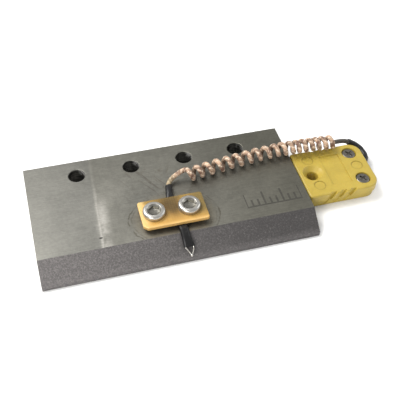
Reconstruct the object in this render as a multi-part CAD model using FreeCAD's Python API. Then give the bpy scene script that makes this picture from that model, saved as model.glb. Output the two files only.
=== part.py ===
"""Hot-bar bonding head: a ground steel bar with a clamped thermocouple, its curly lead and connector.

The head lies on its back. X runs along the working edge, +Y from the working edge to the back face
with the mounting holes, +Z up. The origin is at the bottom centre of the head without its lead.
Lengths are in millimetres.
"""
import FreeCAD, Part
import math
import os

V = FreeCAD.Vector
TINY = 1e-6                  # two heights or places closer than this are the same
RUN_SHARE = 0.45             # how much of its shorter run a bend of the lead takes

# Bar
BAR_LENGTH = 68.0            # working length along X
BAR_DEPTH = 35.0             # working edge to back face
BAR_THICKNESS = 5.0
EDGE_WIDTH = 1.4             # width of the working edge, its pressing face
BEVEL_RUN = 5.2              # depth of the slope from the working edge up to the top face
EDGE_BREAK = 0.2
MOUNT_HOLE_DIAMETER = 4.2
MOUNT_HOLE_PITCH = 14.0
MOUNT_HOLE_COUNT = 4
MOUNT_HOLE_TO_BACK = 5.2
MOUNT_HOLE_CHAMFER = 0.15

# Clamp that holds the thermocouple
CLAMP_X = -0.8               # middle between the two clamp screws
CLAMP_Y = -6.5
CLAMP_SCREW_SPACING = 8.7
PLATE_LENGTH = 16.1
PLATE_WIDTH = 8.6
PLATE_THICKNESS = 0.9
PLATE_OFFSET_X = 0.35        # the plate's middle from the middle of the screws
PLATE_CORNER_RADIUS = 0.6
PLATE_CUT_CORNER = 1.0
PLATE_EDGE_BREAK = 0.1
PLATE_LIFT_CLEARANCE = 0.02  # plate above the pinched sleeve
SCREW_THREAD_DIAMETER = 3.0
SCREW_THREAD_PITCH = 0.5
SCREW_THREAD_DEPTH = 0.3
SCREW_LENGTH = 6.0           # under the head
SCREW_HEAD_DIAMETER = 5.5
SCREW_HEAD_HEIGHT = 1.4
SCREW_HEAD_EDGE = 0.3
SCREW_HEX = 2.5
SCREW_HEX_DEPTH = 0.95
SCREW_HEX_LEAD_IN = 3.4
SCREW_DRILL_POINT = 2.4      # drilled point under the socket's floor
SCREW_RUNNING_CLEARANCE = 0.03
PLATE_HOLE_CLEARANCE = 0.1

# Shrink sleeve under the clamp: round at its rear end, pinched under the plate, flared at its mouth
SLEEVE_REAR_X = 0.5
SLEEVE_REAR_Y = 2.3
SLEEVE_HEIGHT = 1.6
SLEEVE_WIDTH = 1.8
SLEEVE_PINCHED_HEIGHT = 1.1
SLEEVE_PINCHED_WIDTH = 2.4
SLEEVE_BEND_WIDTH = 2.2      # where it turns down the slope
SLEEVE_MOUTH_HEIGHT = 1.1
SLEEVE_MOUTH_WIDTH = 2.7
SLEEVE_OFF_BAR = 0.05        # under its round and flared stretches
SLEEVE_ROUND_BEHIND_PLATE = 1.4
SLEEVE_PINCH_BEHIND_PLATE = 0.2
SLEEVE_PINCH_BEFORE_PLATE = 0.1
SLEEVE_TURN_BEHIND_SLOPE = 0.2
SLEEVE_TURNED_DOWN_SLOPE = 1.1
SLEEVE_MOUTH_DOWN_SLOPE = 3.7  # from the top of the slope to the sleeve's front end
SLEEVE_PLATE_REAR_X = 0.0    # its middle line drifts to the right on its way to the slope
SLEEVE_UNDER_PLATE_X = 0.5
SLEEVE_PLATE_FRONT_X = 0.8
SLEEVE_TURN_X = 0.85
SLEEVE_TURNED_X = 0.9
SLEEVE_MOUTH_X = 1.25

# Thermocouple wires: side by side in the sleeve, spread at its mouth, joined in the bead
SENSOR_WIRE_DIAMETER = 0.3
SENSOR_WIRE_OFFSETS = [0.3, 0.3, 0.55, 0.55, 0.55, 0.55, 0.6, 1.0]  # from the sleeve's middle line
SENSOR_TIP_X = 1.45
SENSOR_TIP_OFFSET = 0.7      # from the bead's line, just past the mouth
SENSOR_TIP_PAST_MOUTH = 0.8
SENSOR_TIP_HEIGHT = 0.45
BEAD_DIAMETER = 0.64
BEAD_SUNK = 0.08
BEAD_FROM_EDGE = 0.56        # up the slope from the working edge

# Lead
LEAD_DIAMETER = 1.2
COIL_DIAMETER = 3.9
COIL_CLEARANCE = 0.1
TAIL_SLEEVE_DIAMETER = 2.0
TAIL_SLEEVE_FIRST_POINT = 2  # the sleeve starts on the run before this point of the tail
TAIL_CLEARANCE = 0.1         # round the tail where it passes into the connector

# Connector shell, in its own frame: X from its front face back, Y across, Z up from its base
CONNECTOR_GAP = 0.4          # from the bar's end to the connector's front face
CONNECTOR_CENTRE_Y = -0.9
SHELL_LENGTH = 19.3
SHELL_WIDTH = 16.0
SHELL_THICKNESS = 4.6
SHELL_SPLIT = 2.3
SHELL_WALL = 1.2
FRONT_WALL = 1.0
FRONT_CORNER_RADIUS = 0.8
REAR_CORNER_RADIUS = 3.2
COVER_EDGE_RADIUS = 0.5
BASE_EDGE_RADIUS = 0.6
BASE_INSET = 0.4
WINDOW_START = 7.2
WINDOW_LENGTH = 5.4
WINDOW_WIDTH = 10.2
WINDOW_DEPTH = 0.25
TETHER_HOLE_DIAMETER = 3.0
TETHER_HOLE_X = 3.7
TETHER_COUNTERSINK_DIAMETER = 5.4
MARK_DIAMETER = 3.0
MARK_DEPTH = 0.15
FRONT_MARK_X = 3.9
FRONT_MARK_SPACING = 9.1
REAR_MARK_X = 16.0
GRIP_START = 5.0
GRIP_PITCH = 2.7
GRIP_COUNT = 3
GRIP_WIDTH = 1.3
GRIP_DEPTH = 0.55
GRIP_SLANT = 35.0            # degrees from upright
MOUTH_HALF_WIDTH = 4.2
CHANNEL_HALF_WIDTH = 2.1
CHANNEL_START = 13.0
CHANNEL_FLARE_START = 15.6

# Screws that hold the cover to the base
COVER_SCREW_X = 15.7
COVER_SCREW_SPACING = 9.3
COVER_SCREW_DIAMETER = 1.6
COVER_SCREW_CLEARANCE = 0.05
COVER_HEAD_DIAMETER = 3.5
COVER_HEAD_HEIGHT = 0.9
COVER_COUNTERBORE_DIAMETER = 3.9
COVER_COUNTERBORE_DEPTH = 1.1
CROSS_SLOT_LENGTH = 2.1
CROSS_SLOT_WIDTH = 0.5
CROSS_SLOT_DEPTH = 0.5
CROSS_SLOT_TURN = 30.0       # degrees
COVER_HEAD_EDGE = 0.25
NUT_ACROSS_FLATS = 3.1
NUT_POCKET_ACROSS_FLATS = 3.2
NUT_POCKET_DEPTH = 1.3
NUT_HEIGHT = 1.15
SCREW_TIP_ABOVE_BASE = 0.3

# Socket contacts and their terminals
CONTACT_SPACING = 7.94
POSITIVE_CONTACT_WIDTH = 2.4
NEGATIVE_CONTACT_WIDTH = 3.2
CONTACT_SIDE_CLEARANCE = 0.15
CONTACT_LEAF = 0.5
CONTACT_START = 1.1
CONTACT_BEND_X = 9.6
CONTACT_END = 13.2
POCKET_END = 13.4
WIRING_START = 10.4
BLADE_SLOT_HEIGHT = 1.0
TERMINAL_X = 11.6
TERMINAL_SCREW_DIAMETER = 1.6
TERMINAL_HEAD_DIAMETER = 2.2
TERMINAL_HEAD_HEIGHT = 0.7
TERMINAL_HEAD_CLEARANCE = 0.25
TERMINAL_SLOT_WIDTH = 0.4
TERMINAL_SLOT_DEPTH = 0.3
WASHER_DIAMETER = 2.5
WASHER_THICKNESS = 0.2
CONDUCTOR_DIAMETER = 0.4
CONDUCTOR_OFFSET = 1.12      # beside the terminal screw
TERMINAL_CLEARANCE = 0.03

# Worked out from the sizes above
BAR_BACK_Y = BAR_DEPTH / 2
EDGE_Y = -BAR_DEPTH / 2
SLOPE_TOP_Y = EDGE_Y + BEVEL_RUN
SLOPE_DROP = BAR_THICKNESS - EDGE_WIDTH
SLOPE_LENGTH = math.hypot(BEVEL_RUN, SLOPE_DROP)
PLATE_UNDERSIDE = BAR_THICKNESS + SLEEVE_PINCHED_HEIGHT + PLATE_LIFT_CLEARANCE
PLATE_TOP = PLATE_UNDERSIDE + PLATE_THICKNESS
PLATE_X = CLAMP_X + PLATE_OFFSET_X
CLAMP_SCREW_XS = (CLAMP_X - CLAMP_SCREW_SPACING / 2, CLAMP_X + CLAMP_SCREW_SPACING / 2)
CONNECTOR_ORIGIN = V(BAR_LENGTH / 2 + CONNECTOR_GAP, CONNECTOR_CENTRE_Y, 0)
CAVITY_TOP = SHELL_THICKNESS - SHELL_WALL
CAVITY_MIDDLE = (CAVITY_TOP + SHELL_WALL) / 2
CONTACT_SIDES = {"positive": -1, "negative": 1}
CONTACT_WIDTHS = {"positive": POSITIVE_CONTACT_WIDTH, "negative": NEGATIVE_CONTACT_WIDTH}
SLEEVE_REAR_END = V(SLEEVE_REAR_X, SLEEVE_REAR_Y, BAR_THICKNESS + SLEEVE_HEIGHT / 2 + SLEEVE_OFF_BAR)

# Route of the lead from the sleeve's rear end, as offsets from that end
LEAD_START_ROUTE = [
    (-0.06, -0.45, 0.0), (0.12, 0.75, 0.02), (0.95, 1.75, 0.3), (2.6, 2.45, 1.15), (4.6, 2.6, 2.15),
]
# Middle line of the coil: its start from the sleeve's rear end, its bend and end from the connector
COIL_START_OFFSET = (4.5, 1.75)
COIL_BEND_OFFSET = (-4.0, 8.1)
COIL_END_OFFSET = (12.6, 7.4)
COIL_END_DROP = 0.2
TAIL_START_OFFSET = (0.0, 1.1, -1.25)  # the tail's start from the middle of the coil's end
# Route of the tail round the connector's corner to its terminals, in the connector's frame but with
# heights from the middle of its cavity
TAIL_ROUTE = [
    (14.6, 9.2, 2.6), (16.7, 9.6, 2.0), (18.7, 9.1, 1.2), (20.3, 7.7, 0.5), (20.9, 5.7, 0.1),
    (20.7, 3.9, 0.0), (19.6, 2.4, 0.0), (17.8, 1.4, 0.0), (15.9, 1.0, 0.0), (14.0, 0.9, 0.0),
]
# Route of a bare core, across from the lead's end (towards its terminal) and up from the contact's pad
CORE_START_ACROSS = 0.3
CORE_LEAVES = (-0.6, 0.5, -0.1)        # from the lead's end
CORE_BEFORE_PAD = (0.1, 1.5, 0.1)
CORE_ON_PAD = (0.03, -1.0)
CORE_END_PAST_TERMINAL = 0.8


def box(x0, x1, y0, y1, z0, z1):
    return Part.makeBox(x1 - x0, y1 - y0, z1 - z0, V(x0, y0, z0))


def cylinder(diameter, x, y, z0, z1):
    return Part.makeCylinder(diameter / 2, z1 - z0, V(x, y, z0))


def cone(bottom_diameter, top_diameter, x, y, z0, z1):
    return Part.makeCone(bottom_diameter / 2, top_diameter / 2, z1 - z0, V(x, y, z0))


def hexagon(across_flats, x, y, z0, z1):
    """Upright hexagonal prism with two flats facing +Y and -Y."""
    radius = across_flats / math.sqrt(3)
    corners = [V(x + radius * math.cos(math.radians(60 * k)),
                 y + radius * math.sin(math.radians(60 * k)), z0) for k in range(7)]
    return Part.Face(Part.makePolygon(corners)).extrude(V(0, 0, z1 - z0))


def prism(outline, z0, z1):
    """Upright prism on a closed plan outline of (x, y) corners."""
    corners = [V(x, y, z0) for x, y in outline + outline[:1]]
    return Part.Face(Part.makePolygon(corners)).extrude(V(0, 0, z1 - z0))


def rounded_slab(x0, x1, half_width, front_radius, rear_radius, z0, z1):
    """Slab whose two front corners and two rear corners have their own radii."""
    slab = box(x0, x1, -half_width, half_width, z0, z1)
    for x, radius in ((x0, front_radius), (x1, rear_radius)):
        upright = [edge for edge in slab.Edges if all(abs(v.X - x) < TINY for v in edge.Vertexes)
                   and abs(edge.Vertexes[0].Z - edge.Vertexes[-1].Z) > TINY]
        slab = slab.makeFillet(radius, upright)
    return slab


def edges_at_height(shape, z):
    return [edge for edge in shape.Edges if all(abs(v.Z - z) < TINY for v in edge.Vertexes)]


def route(points):
    """Straight runs joined by tangent arcs, each as large as its two runs allow."""
    edges = []
    start = points[0]
    for before, corner, after in zip(points, points[1:], points[2:]):
        run_in = (corner - before).normalize()
        run_out = (after - corner).normalize()
        half_turn = run_in.getAngle(run_out) / 2
        reach = RUN_SHARE * min(before.distanceToPoint(corner), corner.distanceToPoint(after))
        arc_start = corner - run_in * reach
        arc_end = corner + run_out * reach
        radius = reach / math.tan(half_turn)
        bisector = (run_out - run_in).normalize()
        middle = corner + bisector * (radius / math.cos(half_turn) - radius)
        edges.append(Part.LineSegment(start, arc_start).toShape())
        edges.append(Part.Arc(arc_start, middle, arc_end).toShape())
        start = arc_end
    edges.append(Part.LineSegment(start, points[-1]).toShape())
    return edges


def tube(edges, diameter):
    """Round bar along a chain of tangent edges."""
    path = Part.Wire(edges)
    first = edges[0]
    start = first.valueAt(first.FirstParameter)
    direction = first.tangentAt(first.FirstParameter)
    section = Part.Wire(Part.Circle(start, direction, diameter / 2).toShape())
    return path.makePipeShell([section], True, False)


def bend_radii(edges):
    return [edge.Curve.Radius for edge in edges if isinstance(edge.Curve, Part.Circle)]


def on_slope(x, down, above):
    """Point on the slope: so far down from its top edge, and so far off its surface."""
    along_y = -BEVEL_RUN / SLOPE_LENGTH
    along_z = -SLOPE_DROP / SLOPE_LENGTH
    return V(x, SLOPE_TOP_Y + down * along_y + above * along_z,
             BAR_THICKNESS + down * along_z - above * along_y)


def cut_all(shape, tools):
    for tool in tools:
        shape = shape.cut(tool)
    return shape


def to_connector(shape):
    shape.translate(CONNECTOR_ORIGIN)
    return shape


# ---- bar -------------------------------------------------------------------------------------

def mount_hole_xs():
    first = -MOUNT_HOLE_PITCH * (MOUNT_HOLE_COUNT - 1) / 2
    return [first + MOUNT_HOLE_PITCH * k for k in range(MOUNT_HOLE_COUNT)]


def hot_bar():
    """Ground bar: one slope down to the working edge, four mounting holes, two tapped holes."""
    profile = [
        (EDGE_Y, 0), (EDGE_Y, EDGE_WIDTH), (SLOPE_TOP_Y, BAR_THICKNESS),
        (BAR_BACK_Y - EDGE_BREAK, BAR_THICKNESS), (BAR_BACK_Y, BAR_THICKNESS - EDGE_BREAK),
        (BAR_BACK_Y, EDGE_BREAK), (BAR_BACK_Y - EDGE_BREAK, 0),
    ]
    corners = [V(-BAR_LENGTH / 2, y, z) for y, z in profile + profile[:1]]
    bar = Part.Face(Part.makePolygon(corners)).extrude(V(BAR_LENGTH, 0, 0))
    y = BAR_BACK_Y - MOUNT_HOLE_TO_BACK
    mouth = MOUNT_HOLE_DIAMETER + 2 * MOUNT_HOLE_CHAMFER
    for x in mount_hole_xs():
        bar = bar.cut(cylinder(MOUNT_HOLE_DIAMETER, x, y, 0, BAR_THICKNESS))
        bar = bar.cut(cone(mouth, MOUNT_HOLE_DIAMETER, x, y, 0, MOUNT_HOLE_CHAMFER))
        bar = bar.cut(cone(MOUNT_HOLE_DIAMETER, mouth, x, y,
                           BAR_THICKNESS - MOUNT_HOLE_CHAMFER, BAR_THICKNESS))
    tapped = SCREW_THREAD_DIAMETER + 2 * SCREW_RUNNING_CLEARANCE
    for x in CLAMP_SCREW_XS:
        bar = bar.cut(cylinder(tapped, x, CLAMP_Y, 0, BAR_THICKNESS))
    return bar


# ---- clamp -----------------------------------------------------------------------------------

def clamp_plate():
    """Board strip with rounded corners and one cut corner, drilled for the two screws."""
    x0 = PLATE_X - PLATE_LENGTH / 2
    x1 = PLATE_X + PLATE_LENGTH / 2
    y0 = CLAMP_Y - PLATE_WIDTH / 2
    y1 = CLAMP_Y + PLATE_WIDTH / 2
    plate = box(x0, x1, y0, y1, PLATE_UNDERSIDE, PLATE_TOP)
    cut = [(x0, y0), (x0 + PLATE_CUT_CORNER, y0), (x0, y0 + PLATE_CUT_CORNER)]
    plate = plate.cut(prism(cut, PLATE_UNDERSIDE, PLATE_TOP))
    rounded = [(x1, y0), (x1, y1), (x0, y1)]
    upright = [edge for edge in plate.Edges if any(
        all(math.hypot(v.X - x, v.Y - y) < TINY for v in edge.Vertexes) for x, y in rounded)]
    plate = plate.makeFillet(PLATE_CORNER_RADIUS, upright)
    plate = plate.makeChamfer(PLATE_EDGE_BREAK, edges_at_height(plate, PLATE_TOP))
    for x in CLAMP_SCREW_XS:
        hole = SCREW_THREAD_DIAMETER + 2 * PLATE_HOLE_CLEARANCE
        plate = plate.cut(cylinder(hole, x, CLAMP_Y, PLATE_UNDERSIDE, PLATE_TOP))
    return plate


def clamp_screw(x):
    """Low-head socket screw: rounded head, hexagon socket with lead-in, ringed thread."""
    outer = SCREW_THREAD_DIAMETER / 2
    root = outer - SCREW_THREAD_DEPTH
    tip = PLATE_TOP - SCREW_LENGTH
    ring_count = int(SCREW_LENGTH / SCREW_THREAD_PITCH) - 1
    profile = [(0, tip), (root, tip)]
    for k in range(ring_count):
        z = tip + (k + 0.5) * SCREW_THREAD_PITCH
        profile += [(outer, z), (root, z + SCREW_THREAD_PITCH / 2)]
    profile += [(outer, PLATE_TOP - SCREW_THREAD_PITCH / 2), (outer, PLATE_TOP)]
    profile += [(SCREW_HEAD_DIAMETER / 2, PLATE_TOP)]
    profile += [(SCREW_HEAD_DIAMETER / 2, PLATE_TOP + SCREW_HEAD_HEIGHT)]
    profile += [(0, PLATE_TOP + SCREW_HEAD_HEIGHT)]
    corners = [V(x + r, CLAMP_Y, z) for r, z in profile + profile[:1]]
    screw = Part.Face(Part.makePolygon(corners)).revolve(V(x, CLAMP_Y, 0), V(0, 0, 1), 360)
    top = PLATE_TOP + SCREW_HEAD_HEIGHT
    screw = screw.makeFillet(SCREW_HEAD_EDGE, edges_at_height(screw, top))
    floor = top - SCREW_HEX_DEPTH
    lead_in = (SCREW_HEX_LEAD_IN - SCREW_HEX) / 2
    screw = screw.cut(hexagon(SCREW_HEX, x, CLAMP_Y, floor, top))
    screw = screw.cut(cone(SCREW_HEX, SCREW_HEX_LEAD_IN, x, CLAMP_Y, top - lead_in, top))
    return screw.cut(cone(0, SCREW_DRILL_POINT, x, CLAMP_Y, floor - lead_in, floor))


# ---- thermocouple ----------------------------------------------------------------------------

def sleeve_stations():
    """Middle, width, height and downward pitch of the sleeve from its rear end to its mouth."""
    plate_rear = CLAMP_Y + PLATE_WIDTH / 2
    plate_front = CLAMP_Y - PLATE_WIDTH / 2
    pinched_z = BAR_THICKNESS + SLEEVE_PINCHED_HEIGHT / 2
    pinched = (SLEEVE_PINCHED_WIDTH, SLEEVE_PINCHED_HEIGHT, 0)
    pitch = math.degrees(math.atan2(SLOPE_DROP, BEVEL_RUN))
    bend_height = (SLEEVE_HEIGHT + SLEEVE_MOUTH_HEIGHT) / 2
    bend_z = BAR_THICKNESS + SLEEVE_OFF_BAR + bend_height / 2
    turned = on_slope(SLEEVE_TURNED_X, SLEEVE_TURNED_DOWN_SLOPE, SLEEVE_OFF_BAR + bend_height / 2)
    mouth = on_slope(SLEEVE_MOUTH_X, SLEEVE_MOUTH_DOWN_SLOPE, SLEEVE_OFF_BAR + SLEEVE_MOUTH_HEIGHT / 2)
    return [
        (SLEEVE_REAR_END, SLEEVE_WIDTH, SLEEVE_HEIGHT, 0),
        (V(SLEEVE_PLATE_REAR_X, plate_rear + SLEEVE_ROUND_BEHIND_PLATE, SLEEVE_REAR_END.z),
         SLEEVE_WIDTH, SLEEVE_HEIGHT, 0),
        (V(SLEEVE_PLATE_REAR_X, plate_rear + SLEEVE_PINCH_BEHIND_PLATE, pinched_z), *pinched),
        (V(SLEEVE_UNDER_PLATE_X, CLAMP_Y, pinched_z), *pinched),
        (V(SLEEVE_PLATE_FRONT_X, plate_front - SLEEVE_PINCH_BEFORE_PLATE, pinched_z), *pinched),
        (V(SLEEVE_TURN_X, SLOPE_TOP_Y + SLEEVE_TURN_BEHIND_SLOPE, bend_z), SLEEVE_BEND_WIDTH,
         bend_height, pitch / 3),
        (turned, SLEEVE_BEND_WIDTH, bend_height, pitch),
        (mouth, SLEEVE_MOUTH_WIDTH, SLEEVE_MOUTH_HEIGHT, pitch),
    ]


def sleeve_section(middle, width, height, pitch):
    """Flat-sided oval across the sleeve, tipped forwards by its pitch in degrees."""
    radius = height / 2
    flat = width / 2 - radius
    right = V(flat, 0, 0)
    up = V(0, 0, radius)
    out = V(radius, 0, 0)
    edges = [
        Part.LineSegment(up - right, up + right).toShape(),
        Part.Arc(up + right, right + out, right - up).toShape(),
        Part.LineSegment(right - up, V(0, 0, 0) - right - up).toShape(),
        Part.Arc(V(0, 0, 0) - right - up, V(0, 0, 0) - right - out, up - right).toShape(),
    ]
    section = Part.Wire(edges)
    section.rotate(V(0, 0, 0), V(1, 0, 0), pitch)
    section.translate(middle)
    return section


def bead_middle():
    return on_slope(SENSOR_TIP_X, SLOPE_LENGTH - BEAD_FROM_EDGE, BEAD_DIAMETER / 2 - BEAD_SUNK)


def junction_bead(bar):
    return Part.makeSphere(BEAD_DIAMETER / 2, bead_middle()).cut(bar)


def sensor_wire(side, neighbours):
    """Bare wire from the lead's end through the sleeve to the bead; side is -1 left or 1 right."""
    middles = [station[0] for station in sleeve_stations()]
    points = [middle + V(side * off, 0, 0) for middle, off in zip(middles, SENSOR_WIRE_OFFSETS)]
    points.append(on_slope(SENSOR_TIP_X + SENSOR_TIP_OFFSET * side,
                           SLEEVE_MOUTH_DOWN_SLOPE + SENSOR_TIP_PAST_MOUTH, SENSOR_TIP_HEIGHT))
    points.append(bead_middle())
    bead = Part.makeSphere(BEAD_DIAMETER / 2, bead_middle())
    return cut_all(tube(route(points), SENSOR_WIRE_DIAMETER), [bead] + neighbours)


def sensor_sleeve(neighbours):
    """Sleeve shrunk on the lead's end and the wires, and pressed against the bar."""
    sections = [sleeve_section(*station) for station in sleeve_stations()]
    return cut_all(Part.makeLoft(sections, True, True), neighbours)


# ---- lead ------------------------------------------------------------------------------------

def coil_points():
    height = BAR_THICKNESS + COIL_CLEARANCE + COIL_DIAMETER / 2
    start = SLEEVE_REAR_END + V(COIL_START_OFFSET[0], COIL_START_OFFSET[1], 0)
    start.z = height
    bend = CONNECTOR_ORIGIN + V(COIL_BEND_OFFSET[0], COIL_BEND_OFFSET[1], height)
    end = CONNECTOR_ORIGIN + V(COIL_END_OFFSET[0], COIL_END_OFFSET[1], height - COIL_END_DROP)
    return [start, bend, end]


def tail_points():
    start = coil_points()[-1] + V(*TAIL_START_OFFSET)
    return [start] + [CONNECTOR_ORIGIN + V(x, y, CAVITY_MIDDLE + z) for x, y, z in TAIL_ROUTE]


def lead_start_edges():
    return route([SLEEVE_REAR_END + V(*offset) for offset in LEAD_START_ROUTE])


def tail_sleeve_edges():
    return route(tail_points())[2 * TAIL_SLEEVE_FIRST_POINT:-1]


def tail_sleeve():
    """Shrink sleeve over the last stretch of the lead, up to the connector's terminals."""
    edges = tail_sleeve_edges()
    return tube(edges, TAIL_SLEEVE_DIAMETER).cut(tube(edges, LEAD_DIAMETER))


# ---- connector shells ------------------------------------------------------------------------

def cavity(z0, z1):
    """Room for the contacts, the wiring and the lead, between two heights."""
    parts = [box(WIRING_START, POCKET_END, -CONTACT_SPACING / 2, CONTACT_SPACING / 2, z0, z1)]
    for name, side in CONTACT_SIDES.items():
        half = CONTACT_WIDTHS[name] / 2 + CONTACT_SIDE_CLEARANCE
        y = side * CONTACT_SPACING / 2
        parts.append(box(FRONT_WALL, POCKET_END, y - half, y + half, z0, z1))
    past = SHELL_LENGTH + 1
    outline = [
        (CHANNEL_START, -CHANNEL_HALF_WIDTH), (CHANNEL_FLARE_START, -CHANNEL_HALF_WIDTH),
        (SHELL_LENGTH, -MOUTH_HALF_WIDTH), (past, -MOUTH_HALF_WIDTH), (past, MOUTH_HALF_WIDTH),
        (SHELL_LENGTH, MOUTH_HALF_WIDTH), (CHANNEL_FLARE_START, CHANNEL_HALF_WIDTH),
        (CHANNEL_START, CHANNEL_HALF_WIDTH),
    ]
    parts.append(prism(outline, z0, z1))
    return parts


def tail_room():
    """Room for the lead and its sleeve where they pass between the two shells."""
    room = tube(tail_sleeve_edges(), TAIL_SLEEVE_DIAMETER + 2 * TAIL_CLEARANCE)
    room.translate(V(0, 0, 0) - CONNECTOR_ORIGIN)
    return room


def terminal_room():
    """Room for the terminal screws' heads under the cover."""
    diameter = TERMINAL_HEAD_DIAMETER + 2 * TERMINAL_HEAD_CLEARANCE
    top = terminal_screw_top() + TERMINAL_HEAD_CLEARANCE
    return [cylinder(diameter, TERMINAL_X, side * CONTACT_SPACING / 2, SHELL_WALL, top)
            for side in CONTACT_SIDES.values()]


def blade_slots():
    slots = []
    low = CAVITY_MIDDLE - BLADE_SLOT_HEIGHT / 2
    for name, side in CONTACT_SIDES.items():
        half = CONTACT_WIDTHS[name] / 2 + CONTACT_SIDE_CLEARANCE
        y = side * CONTACT_SPACING / 2
        slots.append(box(-1, FRONT_WALL + 0.1, y - half, y + half, low, low + BLADE_SLOT_HEIGHT))
    return slots


def grip_notches():
    """Slanted notches in both long sides, for the fingers."""
    notches = []
    for k in range(GRIP_COUNT):
        for side in (-1, 1):
            y0 = min(side * SHELL_WIDTH / 2, side * (SHELL_WIDTH / 2 - GRIP_DEPTH))
            x = GRIP_START + k * GRIP_PITCH
            notch = box(x - GRIP_WIDTH / 2, x + GRIP_WIDTH / 2, y0, y0 + GRIP_DEPTH,
                        -SHELL_THICKNESS, 2 * SHELL_THICKNESS)
            notch.rotate(V(x, 0, SHELL_THICKNESS / 2), V(0, 1, 0), GRIP_SLANT)
            notches.append(notch)
    return notches


def cover_screw_ys():
    return (-COVER_SCREW_SPACING / 2, COVER_SCREW_SPACING / 2)


def screw_clearance_holes():
    diameter = COVER_SCREW_DIAMETER + 2 * COVER_SCREW_CLEARANCE
    return [cylinder(diameter, COVER_SCREW_X, y, 0, SHELL_THICKNESS) for y in cover_screw_ys()]


def connector_cover():
    """Upper shell with its label window, tether hole, round moulding marks and counterbores."""
    top = SHELL_THICKNESS
    shell = rounded_slab(0, SHELL_LENGTH, SHELL_WIDTH / 2, FRONT_CORNER_RADIUS,
                         REAR_CORNER_RADIUS, SHELL_SPLIT, top)
    shell = shell.makeFillet(COVER_EDGE_RADIUS, edges_at_height(shell, top))
    tools = cavity(SHELL_SPLIT, CAVITY_TOP) + blade_slots() + grip_notches()
    tools += screw_clearance_holes() + terminal_room() + [tail_room()]
    tools.append(cylinder(TETHER_HOLE_DIAMETER, TETHER_HOLE_X, 0, 0, top))
    tools.append(cone(TETHER_HOLE_DIAMETER, TETHER_COUNTERSINK_DIAMETER, TETHER_HOLE_X, 0,
                      top - (TETHER_COUNTERSINK_DIAMETER - TETHER_HOLE_DIAMETER) / 2, top))
    tools.append(box(WINDOW_START, WINDOW_START + WINDOW_LENGTH, -WINDOW_WIDTH / 2,
                     WINDOW_WIDTH / 2, top - WINDOW_DEPTH, top))
    for x, y in ((FRONT_MARK_X, -FRONT_MARK_SPACING / 2), (FRONT_MARK_X, FRONT_MARK_SPACING / 2),
                 (REAR_MARK_X, 0)):
        tools.append(cylinder(MARK_DIAMETER, x, y, top - MARK_DEPTH, top))
    for y in cover_screw_ys():
        tools.append(cylinder(COVER_COUNTERBORE_DIAMETER, COVER_SCREW_X, y,
                              top - COVER_COUNTERBORE_DEPTH, top))
    return to_connector(cut_all(shell, tools))


def connector_base():
    """Lower shell, a little narrower than the cover, with hexagon pockets for the nuts."""
    shell = rounded_slab(0, SHELL_LENGTH - BASE_INSET, SHELL_WIDTH / 2 - BASE_INSET,
                         FRONT_CORNER_RADIUS, REAR_CORNER_RADIUS - BASE_INSET, 0, SHELL_SPLIT)
    shell = shell.makeFillet(BASE_EDGE_RADIUS, edges_at_height(shell, 0))
    tools = cavity(SHELL_WALL, SHELL_SPLIT) + blade_slots() + grip_notches()
    tools += screw_clearance_holes() + terminal_room() + [tail_room()]
    tools.append(cylinder(TETHER_HOLE_DIAMETER, TETHER_HOLE_X, 0, 0, SHELL_SPLIT))
    for y in cover_screw_ys():
        tools.append(hexagon(NUT_POCKET_ACROSS_FLATS, COVER_SCREW_X, y, 0, NUT_POCKET_DEPTH))
    return to_connector(cut_all(shell, tools))


def cover_screws():
    """Cross-recessed screws through the cover into the nuts."""
    screws = []
    seat = SHELL_THICKNESS - COVER_COUNTERBORE_DEPTH
    top = seat + COVER_HEAD_HEIGHT
    for y in cover_screw_ys():
        head = cylinder(COVER_HEAD_DIAMETER, COVER_SCREW_X, y, seat, top)
        head = head.makeFillet(COVER_HEAD_EDGE, edges_at_height(head, top))
        shank = cylinder(COVER_SCREW_DIAMETER, COVER_SCREW_X, y, SCREW_TIP_ABOVE_BASE, seat)
        half = CROSS_SLOT_LENGTH / 2
        slot = box(COVER_SCREW_X - half, COVER_SCREW_X + half, y - CROSS_SLOT_WIDTH / 2,
                   y + CROSS_SLOT_WIDTH / 2, top - CROSS_SLOT_DEPTH, top)
        slot.rotate(V(COVER_SCREW_X, y, 0), V(0, 0, 1), CROSS_SLOT_TURN)
        other = slot.copy()
        other.rotate(V(COVER_SCREW_X, y, 0), V(0, 0, 1), 90)
        screws.append(head.fuse(shank).cut(slot).cut(other))
    return to_connector(Part.makeCompound(screws))


def cover_nuts():
    nuts = []
    top = NUT_POCKET_DEPTH
    for y in cover_screw_ys():
        nut = hexagon(NUT_ACROSS_FLATS, COVER_SCREW_X, y, top - NUT_HEIGHT, top)
        bore = COVER_SCREW_DIAMETER + 2 * TERMINAL_CLEARANCE
        nuts.append(nut.cut(cylinder(bore, COVER_SCREW_X, y, 0, top)))
    return to_connector(Part.makeCompound(nuts))


# ---- contacts and terminals ------------------------------------------------------------------

def contact(name):
    """Folded strip: two leaves that grip a blade, and a pad behind them for the terminal screw."""
    y = CONTACT_SIDES[name] * CONTACT_SPACING / 2
    half = CONTACT_WIDTHS[name] / 2
    low, high = SHELL_WALL, CAVITY_TOP
    leaves = box(CONTACT_START, CONTACT_BEND_X, y - half, y + half, low, high)
    gap = box(CONTACT_START, CONTACT_BEND_X - CONTACT_LEAF, y - half, y + half,
              low + CONTACT_LEAF, high - CONTACT_LEAF)
    pad = box(CONTACT_BEND_X, CONTACT_END, y - half, y + half, low, low + CONTACT_LEAF)
    bore = TERMINAL_SCREW_DIAMETER + 2 * TERMINAL_CLEARANCE
    strip = leaves.cut(gap).fuse(pad).removeSplitter()
    return to_connector(strip.cut(cylinder(bore, TERMINAL_X, y, low, high - CONTACT_LEAF)))


def washer_underside():
    return SHELL_WALL + CONTACT_LEAF + CONDUCTOR_DIAMETER


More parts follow.
